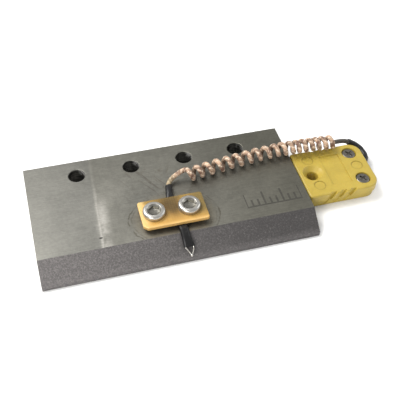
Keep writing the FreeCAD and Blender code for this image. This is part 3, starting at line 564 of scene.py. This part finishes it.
def braid_mask(tree, around, along, strands, slope, shift):
    """Threads that wind round the lead: 1 on a thread, 0 between threads."""
    turn = tree.add(tree.times(around, strands), tree.add(tree.times(along, slope), shift))
    return tree.math("ABSOLUTE", tree.math("SUBTRACT", tree.math("FRACT", turn), 0.5))


def lead_braid():
    """Copper-brown glass braid with cream and dark tracer threads, on the lead's own map."""
    own = settings("lead")
    tree = Finish("lead_braid")
    uv = tree.node("ShaderNodeUVMap", uv_map="braid")
    on_lead = tree.axes(uv)
    jitter = tree.noise(1100.0, 2.0, 0.6)
    around = tree.add(on_lead[0], tree.times(tree.math("SUBTRACT", jitter, 0.5), 0.16))
    along = tree.add(on_lead[1], tree.times(jitter, 0.5))
    right = braid_mask(tree, around, along, 8.0, 2.0, 0.0)
    left = braid_mask(tree, around, along, 8.0, -2.0, 0.25)
    thread = tree.math("MAXIMUM", right, left)
    gaps = tree.step(thread, 0.30, 0.12)
    light = tree.step(braid_mask(tree, around, along, 2.0, 0.5, 0.0), 0.30, 0.42)
    dark = tree.step(braid_mask(tree, around, along, 1.0, -0.25, 0.3), 0.27, 0.38)
    dark_two = tree.step(braid_mask(tree, around, along, 2.0, 0.5, 0.42), 0.40, 0.46)
    patch = tree.noise(650.0, 3.0, 0.7)
    fine = tree.noise(2600.0, 2.0, 0.6)
    base = tree.mix(tree.step(patch, 0.34, 0.66), scaled(own.braid, 0.55), scaled(own.braid, 1.4))
    base = tree.mix(tree.times(light, tree.step(fine, 0.3, 0.6)), base, own.fleck_light)
    dark = tree.math("MAXIMUM", tree.times(dark, 0.95), tree.times(dark_two, 0.85))
    base = tree.mix(tree.times(dark, tree.step(patch, 0.62, 0.42)), base, own.fleck_dark)
    base = tree.over(base, scaled(own.fleck_dark, 0.8), gaps, 0.6)

    # Painted shade inside the curls, below and behind their middle line
    at_x, at_y, at_z = tree.axes()
    curl_y = tree.math("MINIMUM", tree.add(tree.times(at_x, 0.12), 3.5 * MM), 7.2 * MM)
    behind = tree.step(tree.math("SUBTRACT", at_y, curl_y), -0.5 * MM, 0.5 * MM)
    inner = tree.times(behind, tree.step(at_z, 7.5 * MM, 6.7 * MM))
    inner = tree.times(inner, tree.step(at_x, 5.2 * MM, 6.2 * MM))
    base = tree.over(base, BRAID_SHADE, inner, 0.8)
    base = tree.over(base, BRAID_NEAR_SLEEVE, tree.step(along, 9.0, 3.0), 0.62)
    base = tree.over(base, BRAID_FAR_END, tree.step(at_x, 46.6 * MM, 48.0 * MM), 0.86)
    height = tree.add(tree.times(thread, 0.8), tree.times(fine, 0.4))
    values = {"Sheen Weight": 0.15, "Sheen Roughness": 0.4}
    return tree.complete(base, 0.62, height, 0.05 * MM, values)


ALLOY_BRIGHT, ALLOY_TARNISHED = (0.62, 0.60, 0.56), (0.34, 0.31, 0.27)


def sensor_alloy():
    """Drawn thermocouple alloy: dull silver, slightly oxidised."""
    tree = Finish("sensor_alloy")
    tarnish = tree.noise(700.0, 3.0, 0.6)
    base = tree.mix(tree.step(tarnish, 0.4, 0.7), ALLOY_BRIGHT, ALLOY_TARNISHED)
    rough = tree.step(tarnish, 0.3, 0.7, 0.24, 0.4)
    return tree.complete(base, rough, tarnish, 0.01 * MM, {"Metallic": 1.0})


# Middles of the round mould marks on the shells, in millimetres from the connector's front edge
SHELL_MARKS = [(3.9, -4.55), (3.9, 4.55), (16.0, 0.0)]
SHELL_MARK_RADII = (1.5 * MM, 1.5 * MM)


def connector_shell():
    """Yellow glass-filled nylon: low gloss, faint flow marks, round mould marks and a fine grain.
    """
    own = settings("connector")
    tree = Finish("connector_shell")
    wear = tree.group(shared_group("wear", wear_group),
                      {"Broad scale": 210.0, "Fine scale": 1500.0})
    base = tree.mix(wear["Broad"], scaled(own.shell, 0.94), scaled(own.shell, 1.05))
    x, y, _ = tree.axes()
    for mark_x, mark_y in SHELL_MARKS:
        middle = CONNECTOR_ORIGIN + Vector((mark_x, mark_y, 0)) * MM
        out = ellipse(tree, x, y, middle, SHELL_MARK_RADII)
        base = tree.over(base, scaled(own.shell, 0.4), band(tree, out, 0.86, 1.06, 0.06), 0.42)
    grain = tree.group(shared_group("speckle", speckle_group),
                       {"Colour": base, "Scale": 2400.0, "Amount": 0.07})
    rough = tree.wear_and_glint(wear, 0.08, 0.06, 0.33)
    values = {"Subsurface Weight": 0.08, "Subsurface Radius": (0.9 * MM, 0.5 * MM, 0.1 * MM)}
    height = tree.add(wear["Fine"], wear["Broad"])
    return tree.complete(grain["Colour"], rough, height, 0.012 * MM, values)


MATERIALS = {made.__name__: made for made in (
    ground_steel, wire_cut_steel, bored_steel, epoxy_board, black_sleeve, lead_braid, sensor_alloy,
    connector_shell)}
MATERIALS |= {
    "plated_steel": lambda: plated_metal("plated_steel", settings("clamp").plate_metal, 0.27),
    # Darker metal of the clamp screws' dishes and sockets: painted shade in the recess
    "socket": lambda: plated_metal("socket", (0.25, 0.24, 0.21), 0.24),
    "dark_screw": lambda: plated_metal("dark_screw", (0.22, 0.205, 0.18), 0.26),
}


def material(name):
    """Gives a finish by name, made the first time that it is asked for."""
    return bpy.data.materials.get("finish_" + name) or MATERIALS[name]()


# ---- mesh helpers ----

def select_only(piece):
    bpy.ops.object.select_all(action="DESELECT")
    piece.select_set(True)
    bpy.context.view_layer.objects.active = piece


WELD = 0.002 * MM
FLAT_ANGLE = math.radians(0.6)
EDGE_ANGLE = math.radians(32)       # an edge that turns more is rounded and stays sharp


def new_object(name, data):
    piece = bpy.data.objects.new(name, data)
    bpy.context.scene.collection.objects.link(piece)
    return piece


def clean_copy(node, name):
    """Copy of a frame's solid as one welded mesh with whole flat faces."""
    piece = new_object(name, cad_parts[node].data.copy())
    piece.data.materials.clear()
    select_only(piece)
    bpy.ops.object.mode_set(mode="EDIT")
    bpy.ops.mesh.select_all(action="SELECT")
    bpy.ops.mesh.remove_doubles(threshold=WELD)
    bpy.ops.mesh.dissolve_limited(angle_limit=FLAT_ANGLE)
    bpy.ops.object.mode_set(mode="OBJECT")
    if piece.data.has_custom_normals:
        bpy.ops.mesh.customdata_custom_splitnormals_clear()
    return piece


def bevelled(piece, width, segments):
    """Rounds a piece's sharp edges and smooths its curved faces."""
    select_only(piece)
    rounding = piece.modifiers.new("edge", "BEVEL")
    rounding.width = width
    rounding.segments = segments
    rounding.limit_method = "ANGLE"
    rounding.angle_limit = EDGE_ANGLE
    rounding.miter_outer = "MITER_ARC"
    rounding.use_clamp_overlap = True
    bpy.ops.object.modifier_apply(modifier=rounding.name)
    bpy.ops.object.shade_smooth_by_angle(angle=EDGE_ANGLE)
    flats = piece.modifiers.new("flats", "WEIGHTED_NORMAL")
    flats.weight = 100
    flats.keep_sharp = True
    bpy.ops.object.modifier_apply(modifier=flats.name)
    return piece


def finished(piece, body, slot, looks, *nodes):
    """Gives a piece its finish, its body and the solids that it stands for."""
    piece.data.materials.clear()
    piece.data.materials.append(material(looks))
    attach(piece, body)
    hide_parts(*nodes)
    return piece


def softened(node, name, body, slot, looks, width, segments=2):
    """A copy of a solid with its edges rounded, finished to stand for it."""
    return finished(bevelled(clean_copy(node, name), width, segments), body, slot, looks, node)


def repaint(node, looks):
    """Gives its finish to a solid that keeps its shape."""
    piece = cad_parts[node]
    piece.data.materials.clear()
    piece.data.materials.append(material(looks))


def spline_line(name, points, resolution):
    """Points along the NURBS spline of a route."""
    curve = bpy.data.curves.new(name, "CURVE")
    curve.dimensions = "3D"
    spline = curve.splines.new("NURBS")
    spline.points.add(len(points) - 1)
    for made, point in zip(spline.points, points):
        made.co = (*point, 1.0)
    spline.order_u = 3
    spline.use_endpoint_u = True
    spline.resolution_u = resolution
    holder = bpy.data.objects.new(name, curve)
    mesh = bpy.data.meshes.new_from_object(holder)
    line = [vertex.co.copy() for vertex in mesh.vertices]
    bpy.data.objects.remove(holder)
    bpy.data.curves.remove(curve)
    bpy.data.meshes.remove(mesh)
    return line


def even_line(line, step):
    """The same line with points a step apart, and its length."""
    lengths = [0.0]
    for before, after in zip(line, line[1:]):
        lengths.append(lengths[-1] + (after - before).length)
    count = max(2, int(lengths[-1] / step))
    points = []
    at = 0
    for k in range(count + 1):
        wanted = lengths[-1] * k / count
        while at < len(line) - 2 and lengths[at + 1] < wanted:
            at += 1
        span = max(lengths[at + 1] - lengths[at], 1e-12)
        points.append(line[at].lerp(line[at + 1], (wanted - lengths[at]) / span))
    return points, lengths[-1]


def line_frames(line):
    """Two cross directions at each point of a line, turning as little as they can."""
    tangents = [(after - before).normalized() for before, after in
                zip([line[0]] + line[:-1], line[1:] + [line[-1]])]
    side = tangents[0].orthogonal().normalized()
    frames = []
    for before, tangent in zip([tangents[0]] + tangents, tangents):
        side = before.rotation_difference(tangent) @ side
        side = (side - tangent * side.dot(tangent)).normalized()
        frames.append((side, tangent.cross(side)))
    return frames


def ring_quads(rings, count):
    """Faces that join rings of points, count to a ring."""
    return [(k * count + j, k * count + (j + 1) % count,
             (k + 1) * count + (j + 1) % count, (k + 1) * count + j)
            for k in range(rings - 1) for j in range(count)]


def tube_mesh(name, line, section, count, uv_length=None):
    """Tube along a line, count points to a ring; section(k, share, angle) gives its radius.

    uv_length is how far the braid's map runs from one ring to the next.
    """
    vertices = []
    for k, (point, (side, other)) in enumerate(zip(line, line_frames(line))):
        for j in range(count):
            angle = 2 * math.pi * j / count
            radius = section(k, k / (len(line) - 1), angle)
            vertices.append(point + (side * math.cos(angle) + other * math.sin(angle)) * radius)
    faces = ring_quads(len(line), count)
    faces.append(tuple(reversed(range(count))))
    faces.append(tuple((len(line) - 1) * count + j for j in range(count)))
    mesh = bpy.data.meshes.new(name)
    mesh.from_pydata(vertices, [], faces)
    if uv_length is not None:
        uv = mesh.uv_layers.new(name="braid")
        for face_number in range(len(faces) - 2):
            k, j = divmod(face_number, count)
            for corner, (dk, dj) in zip(mesh.polygons[face_number].loop_indices,
                                        ((0, 0), (0, 1), (1, 1), (1, 0))):
                uv.data[corner].uv = ((j + dj) / count, (k + dk) * uv_length)
    mesh.shade_smooth()
    mesh.update()
    return new_object(name, mesh)


# ---- lead ----

CURL_POINTS = 14             # spline points to each curl
CURL_TURNS = 17              # whole turns, before the part turn from the start's angle to the end's
CURL_START_ANGLE = 62.0      # degrees from the back of the curls, over the top
CURL_END_ANGLE = 285.0
CLOSING_START = 0.4          # share of the curls' length where they start to close up
CLOSING_LENGTH = 0.25
CURL_LINE_STEP = 0.1 * MM
# Waves that make the curls uneven: the height, rate and start of each
PITCH_WAVES = ((0.11, 0.93, 0.0), (0.07, 0.37, 1.2))
RADIUS_WAVES = ((0.03, 1.7, 0.0), (0.02, 0.61, 0.0))

BRAID_STEP = 0.12 * MM
BRAID_SIDES = 32
BRAID_STRANDS = 8
BRAID_RELIEF = 0.035         # share of the lead's radius
BRAID_RISE = 1.15            # lead diameters that a strand climbs in a quarter turn
BRAID_PHASE = 0.8            # radians between the two hands of strands
BRAID_MAP = 0.6 * MM         # length of lead to one unit of its map

TAIL_SLEEVE_RADIUS = 0.84 * MM
TAIL_SLEEVE_GAP = 0.02 * MM
TAIL_SLEEVE_RIM = 0.72       # share of its radius that the rim is drawn in to
TAIL_SLEEVE_RIM_STEPS = 4
TAIL_SLEEVE_STOP = 14        # steps of the lead between the sleeve's inner end and the lead's
TAIL_SLEEVE_SIDES = 24


def waver(turned, waves):
    """A factor near 1 that wanders as the curls go round."""
    return 1 + sum(height * math.sin(rate * turned + start) for height, rate, start in waves)


def curl_points():
    """Points of the curls: a helix round their middle line, its pitch easing from first to last."""
    own = settings("lead")
    middle_line = spline_line("curl_line", [Vector(point) * MM for point in CURL_LINE], 12)
    axis, _ = even_line(middle_line, CURL_LINE_STEP)
    turns = CURL_TURNS + (CURL_END_ANGLE - CURL_START_ANGLE) / 360
    count = round(turns * CURL_POINTS)
    first = math.radians(CURL_START_ANGLE)
    angles = [first + 2 * math.pi * turns * k / count for k in range(count + 1)]
    reached = [0.0]
    for k, turned in enumerate(angles[:-1]):
        share = min(1.0, max(0.0, (k / count - CLOSING_START) / CLOSING_LENGTH))
        pitch = own.first_pitch + (own.last_pitch - own.first_pitch) * share
        reached.append(reached[-1] + pitch * waver(turned, PITCH_WAVES))
    points = []
    for travelled, turned in zip(reached, angles):
        at = axis[int(travelled / reached[-1] * (len(axis) - 1))]
        out = Vector((0, math.cos(turned), math.sin(turned))) * own.curl_radius
        points.append(at + out * waver(turned, RADIUS_WAVES))
    return points


def lead_line():
    """The lead's whole line, from the sleeve over its curls into the connector."""
    start = [SLEEVE_REAR_END + Vector(offset) * MM for offset in LEAD_START_ROUTE]
    tail = [CONNECTOR_ORIGIN + Vector((x, y, z)) * MM + Vector((0, 0, CAVITY_MIDDLE))
            for x, y, z in LEAD_TAIL_ROUTE]
    return spline_line("lead_route", start + curl_points() + tail, 10)


def make_lead():
    """The braided lead as one tube with its strands in relief, and what is on it."""
    own = settings("lead")
    line, length = even_line(lead_line(), BRAID_STEP)
    ring_step = length / (len(line) - 1)
    turn_rate = 4 * math.pi / BRAID_STRANDS / (own.diameter * BRAID_RISE)

    def section(k, _share, angle):
        along = k * ring_step * turn_rate
        right = abs(math.sin((angle + along) * BRAID_STRANDS / 2))
        left = abs(math.sin((angle - along) * BRAID_STRANDS / 2 + BRAID_PHASE))
        return own.diameter / 2 * (1 - 2 * BRAID_RELIEF * (1 - max(right, left)))

    piece = tube_mesh("braided_lead", line, section, BRAID_SIDES, ring_step / BRAID_MAP)
    finished(piece, "head", "lead_braid", "lead_braid", "lead_start", "lead_coil", "lead_tail")
    sleeve = make_tail_sleeve(line)


def make_tail_sleeve(line):
    """Black sleeve over the end of the lead, drawn in at its rim."""
    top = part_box("tail_sleeve")[1].z - TAIL_SLEEVE_RADIUS
    begin = max(k for k, point in enumerate(line) if point.z > top)
    points = line[begin:-TAIL_SLEEVE_STOP]

    def section(k, share, angle):
        rim = math.sin(min(1.0, k / TAIL_SLEEVE_RIM_STEPS) * math.pi / 2)
        drawn_in = TAIL_SLEEVE_RIM + (1 - TAIL_SLEEVE_RIM) * rim
        crease = 0.02 * math.sin(share * 47) + 0.015 * math.sin(share * 83 + angle * 2)
        return TAIL_SLEEVE_RADIUS * drawn_in * (1 + crease) - TAIL_SLEEVE_GAP

    piece = tube_mesh("tail_shrink_sleeve", points, section, TAIL_SLEEVE_SIDES)
    return finished(piece, "head", "black_sleeve", "black_sleeve", "tail_sleeve")


# ---- bar ----

SLOPE_DEPTH = 6 * MM         # how far back the rough slope's faces lie from the working edge
SIDE_MARGIN = 1 * MM         # a wall further in than this is a hole's
FACING = 0.3                 # a face turned less than this towards a direction doesn't face it


def make_bar():
    """The ground bar, with its rough slope and its drilled walls in finishes of their own."""
    edge = settings("steel").edge
    piece = softened("hot_bar", "steel_bar", "head", "ground_steel", "ground_steel", edge)
    piece.data.materials.append(material("wire_cut_steel"))
    piece.data.materials.append(material("bored_steel"))
    for face in piece.data.polygons:
        at, normal = face.center, face.normal
        inside = (BAR_LOW.x + SIDE_MARGIN < at.x < BAR_HIGH.x - SIDE_MARGIN
                  and BAR_LOW.y + SIDE_MARGIN < at.y < BAR_HIGH.y - SIDE_MARGIN)
        slopes = normal.y < -FACING and abs(normal.x) < FACING
        if slopes and at.y < BAR_LOW.y + SLOPE_DEPTH:
            face.material_index = 1
        elif inside and abs(normal.z) < FACING:
            face.material_index = 2


# ---- clamp and thermocouple ----

BOARD_EDGE = 0.05 * MM
SLEEVE_EDGE = 0.1 * MM
SCREW_SIDES = 48
SMOOTH_ANGLE = math.radians(30)
THREAD_RADIUS = 1.5 * MM
THREAD_PITCH = 0.5 * MM
THREAD_TIP, THREAD_CREST, THREAD_ROOT, THREAD_NECK = 0.8, 0.99, 0.87, 0.95      # of its radius
FIRST_CREST = 0.35          # pitches above the tip
HEAD_CHAMFER = 0.1 * MM     # under the head
HEAD_RADIUS = 2.75 * MM
RIM_ROUND = 0.6 * MM        # across the head's rounded rim
RIM_HEIGHT = 0.6 * MM       # up it
RIM_STEPS = 8
DISH_RADIUS = 1.74 * MM
DISH_DEPTH = 0.38 * MM
HEX_ACROSS_FLATS = 2.5 * MM
DISH_LIP = (0.08 * MM, 0.05 * MM)       # out from the dish's edge, and down into it
SOCKET_LIP = 0.04 * MM
SOCKET_DEPTH = 0.95 * MM
SOCKET_CONE = 0.25 * MM     # the drill's cone below the socket's floor


def make_clamp():
    """The board strip and the two screws that press it down."""
    softened("clamp_plate", "board_strip", "plate", "epoxy_board", "epoxy_board", BOARD_EDGE, 1)
    for side in ("left", "right"):
        make_screw("clamp_screw_" + side, "socket_screw_" + side, side + "_screw")


def hexagon_radius(angle, across_flats):
    """Distance from a hexagon's middle to its side at an angle."""
    sixth = math.pi / 3
    return across_flats / 2 / math.cos((angle + sixth / 2) % sixth - sixth / 2)


def screw_rings(low, high, seat):
    """Radius and height of each ring of a socket screw, from its tip up and down into its socket.

    The radius is None where the ring is the socket's hexagon.
    """
    rings = [(THREAD_RADIUS * THREAD_TIP, low)]
    for k in range(int((seat - low) / THREAD_PITCH)):
        z = low + (k + FIRST_CREST) * THREAD_PITCH
        rings += [(THREAD_RADIUS * THREAD_CREST, z),
                  (THREAD_RADIUS * THREAD_ROOT, z + THREAD_PITCH / 2)]
    rings += [(THREAD_RADIUS * THREAD_NECK, seat), (HEAD_RADIUS - HEAD_CHAMFER, seat),
              (HEAD_RADIUS, seat + HEAD_CHAMFER)]
    for k in range(RIM_STEPS + 1):
        turn = math.pi / 2 * k / RIM_STEPS
        rings.append((HEAD_RADIUS - RIM_ROUND * (1 - math.cos(turn)),
                      high - RIM_HEIGHT * (1 - math.sin(turn))))
    lip_out, lip_down = DISH_LIP
    rings += [(DISH_RADIUS + lip_out, high), (DISH_RADIUS, high - lip_down)]
    return rings + [(None, high - down)
                    for down in (DISH_DEPTH, DISH_DEPTH + SOCKET_LIP, SOCKET_DEPTH)]


def make_screw(node, name, body):
    """Low socket screw: rounded head, dished top, hexagon socket and thread."""
    low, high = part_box(node)
    middle = (low + high) / 2
    rings = screw_rings(low.z, high.z, PLATE_HIGH.z)
    vertices = []
    for radius, z in rings:
        for j in range(SCREW_SIDES):
            angle = 2 * math.pi * j / SCREW_SIDES
            out = radius or hexagon_radius(angle, HEX_ACROSS_FLATS)
            vertices.append((middle.x + out * math.cos(angle), middle.y + out * math.sin(angle), z))
    faces = [tuple(reversed(range(SCREW_SIDES)))] + ring_quads(len(rings), SCREW_SIDES)
    floor = len(vertices)
    vertices.append((middle.x, middle.y, high.z - SOCKET_DEPTH - SOCKET_CONE))
    last = (len(rings) - 1) * SCREW_SIDES
    faces += [(last + j, last + (j + 1) % SCREW_SIDES, floor) for j in range(SCREW_SIDES)]
    mesh = bpy.data.meshes.new(name)
    mesh.from_pydata(vertices, [], faces)
    piece = finished(new_object(name, mesh), body, "plated_steel", "plated_steel", node)
    mesh.materials.append(material("socket"))
    # The dish and the socket take the darker metal: painted shade in the recess
    dish_start = 1 + SCREW_SIDES * (len(rings) - 4)
    for number in range(dish_start, len(faces)):
        mesh.polygons[number].material_index = 1
    select_only(piece)
    bpy.ops.object.shade_smooth_by_angle(angle=SMOOTH_ANGLE)


def make_sensor():
    """The thermocouple under the clamp: its sleeve, wires and bead."""
    softened("sensor_sleeve", "shrink_sleeve", "head", "black_sleeve", "black_sleeve", SLEEVE_EDGE)
    for node in ("sensor_wire_positive", "sensor_wire_negative", "junction_bead"):
        repaint(node, "sensor_alloy")


# ---- connector ----

COVER_SCREW_EDGE = 0.06 * MM
INNER_LOOKS = {
    "cover_nuts": "plated_steel", "contact_positive": "sensor_alloy",
    "contact_negative": "sensor_alloy", "terminal_washers": "plated_steel",
    "terminal_screws": "plated_steel", "conductor_positive": "sensor_alloy",
    "conductor_negative": "sensor_alloy",
}


def make_connector():
    """The connector's two shells, the screws that hold them and what they hold inside."""
    edge = settings("connector").edge
    for node, name in (("connector_cover", "upper_shell"), ("connector_base", "lower_shell")):
        softened(node, name, "head", "connector_shell", "connector_shell", edge)
    softened("cover_screws", "cross_screws", "head", "plated_steel", "dark_screw", COVER_SCREW_EDGE)
    for node, looks in INNER_LOOKS.items():
        repaint(node, looks)


# ---- stage ----

FLOOR_HEIGHT = -0.02 * MM
FLOOR_SIZE = 4.0
STUDIO_STRENGTH = 0.62
CAMERA_PLACE = Vector((-28.07, -118.19, 137.49)) * MM
CAMERA_RIGHT = (0.9638, -0.2652, 0.0263)
CAMERA_DOWN = (-0.1796, -0.7191, -0.6713)
LIGHTS = [
    # name, place in metres, size in metres, power share, colour
    ("softbox_key", (-0.19, 0.16, 0.36), 0.24, 2.3, (1.0, 0.985, 0.96)),
    ("softbox_front", (-0.30, -0.34, 0.22), 0.20, 1.25, (1.0, 0.99, 0.97)),
    ("softbox_right", (0.40, 0.05, 0.30), 0.30, 0.5, (0.97, 0.985, 1.0)),
]


def make_stage():
    """A pale floor, soft studio light and the camera."""
    own = settings("stage")
    bpy.ops.object.select_all(action="DESELECT")
    bpy.ops.mesh.primitive_plane_add(size=FLOOR_SIZE, location=(0, 0, FLOOR_HEIGHT))
    floor = bpy.context.active_object
    floor.name = "floor"
    looks = Finish("floor")
    looks.put(looks.shader.inputs["Base Color"], rgba(own.floor))
    looks.put(looks.shader.inputs["Roughness"], 0.9)
    floor.data.materials.append(looks.material)
    world = bpy.data.worlds.new("studio")
    world.use_nodes = True
    background = world.node_tree.nodes["Background"]
    background.inputs["Color"].default_value = (1.0, 1.0, 1.0, 1.0)
    background.inputs["Strength"].default_value = STUDIO_STRENGTH
    bpy.context.scene.world = world
    bpy.context.scene.view_settings.view_transform = "Standard"
    for name, place, size, power, colour in LIGHTS:
        light = bpy.data.lights.new(name, "AREA")
        light.shape = "SQUARE"
        light.size = size
        light.energy = power * own.key_power
        light.color = colour
        holder = new_object(name, light)
        holder.location = place
        holder.rotation_euler = (-Vector(place)).to_track_quat("-Z", "Y").to_euler()
    make_camera(own.lens)


def make_camera(lens):
    """Camera at the front left, looking down on the head."""
    right = Vector(CAMERA_RIGHT).normalized()
    down = Vector(CAMERA_DOWN).normalized()
    forward = right.cross(down)
    camera = bpy.data.cameras.new("camera")
    camera.lens = lens
    camera.sensor_width = 36.0
    camera.clip_start = 0.01
    camera.clip_end = 20.0
    holder = new_object("camera", camera)
    turn = Matrix((right, -down, -forward)).transposed()
    holder.matrix_world = Matrix.Translation(CAMERA_PLACE) @ turn.to_4x4()
    bpy.context.scene.camera = holder


# ---- operators and panel ----

class HEAD_OT_bar(bpy.types.Operator):
    """Makes the ground steel bar with its rough slope"""
    bl_idname = "head.bar"
    bl_label = "Steel bar"

    def execute(self, context):
        make_bar()
        return {"FINISHED"}


class HEAD_OT_clamp(bpy.types.Operator):
    """Makes the board strip and its two screws"""
    bl_idname = "head.clamp"
    bl_label = "Clamp"

    def execute(self, context):
        make_clamp()
        return {"FINISHED"}


class HEAD_OT_sensor(bpy.types.Operator):
    """Makes the thermocouple's sleeve, wires and bead"""
    bl_idname = "head.sensor"
    bl_label = "Thermocouple"

    def execute(self, context):
        make_sensor()
        return {"FINISHED"}


class HEAD_OT_connector(bpy.types.Operator):
    """Makes the connector's shells, screws and inner pieces"""
    bl_idname = "head.connector"
    bl_label = "Connector"

    def execute(self, context):
        make_connector()
        return {"FINISHED"}


class HEAD_OT_lead(bpy.types.Operator):
    """Makes the curly braided lead and the sleeve on its tail"""
    bl_idname = "head.lead"
    bl_label = "Curly lead"

    def execute(self, context):
        make_lead()
        return {"FINISHED"}


class HEAD_OT_stage(bpy.types.Operator):
    """Makes the floor, the lights and the camera"""
    bl_idname = "head.stage"
    bl_label = "Stage"

    def execute(self, context):
        make_stage()
        return {"FINISHED"}


OPERATORS = (HEAD_OT_bar, HEAD_OT_clamp, HEAD_OT_sensor, HEAD_OT_connector, HEAD_OT_lead,
             HEAD_OT_stage)
GROUPS = {"steel": HEAD_PG_steel, "clamp": HEAD_PG_clamp, "lead": HEAD_PG_lead,
          "connector": HEAD_PG_connector, "stage": HEAD_PG_stage}


class HEAD_PT_pieces(bpy.types.Panel):
    """Lists the head's settings and pieces"""
    bl_label = "Bonding head"
    bl_idname = "HEAD_PT_pieces"
    bl_space_type = "VIEW_3D"
    bl_region_type = "UI"
    bl_category = "Bonding head"

    def draw(self, context):
        for name, group in GROUPS.items():
            box = self.layout.box()
            box.label(text=name.capitalize())
            for key in group.__annotations__:
                box.prop(settings(name), key)
        for operator in OPERATORS:
            self.layout.operator(operator.bl_idname)


def register():
    for name, group in GROUPS.items():
        bpy.utils.register_class(group)
        setattr(bpy.types.Scene, "head_" + name, bpy.props.PointerProperty(type=group))
    for kind in (*OPERATORS, HEAD_PT_pieces):
        bpy.utils.register_class(kind)


def unregister():
    for kind in (HEAD_PT_pieces, *reversed(OPERATORS)):
        bpy.utils.unregister_class(kind)
    for name, group in GROUPS.items():
        delattr(bpy.types.Scene, "head_" + name)
        bpy.utils.unregister_class(group)


def main():
    register()
    bpy.ops.head.bar()
    bpy.ops.head.clamp()
    bpy.ops.head.sensor()
    bpy.ops.head.connector()
    bpy.ops.head.lead()
    bpy.ops.head.stage()


if __name__ == "__main__":
    main()
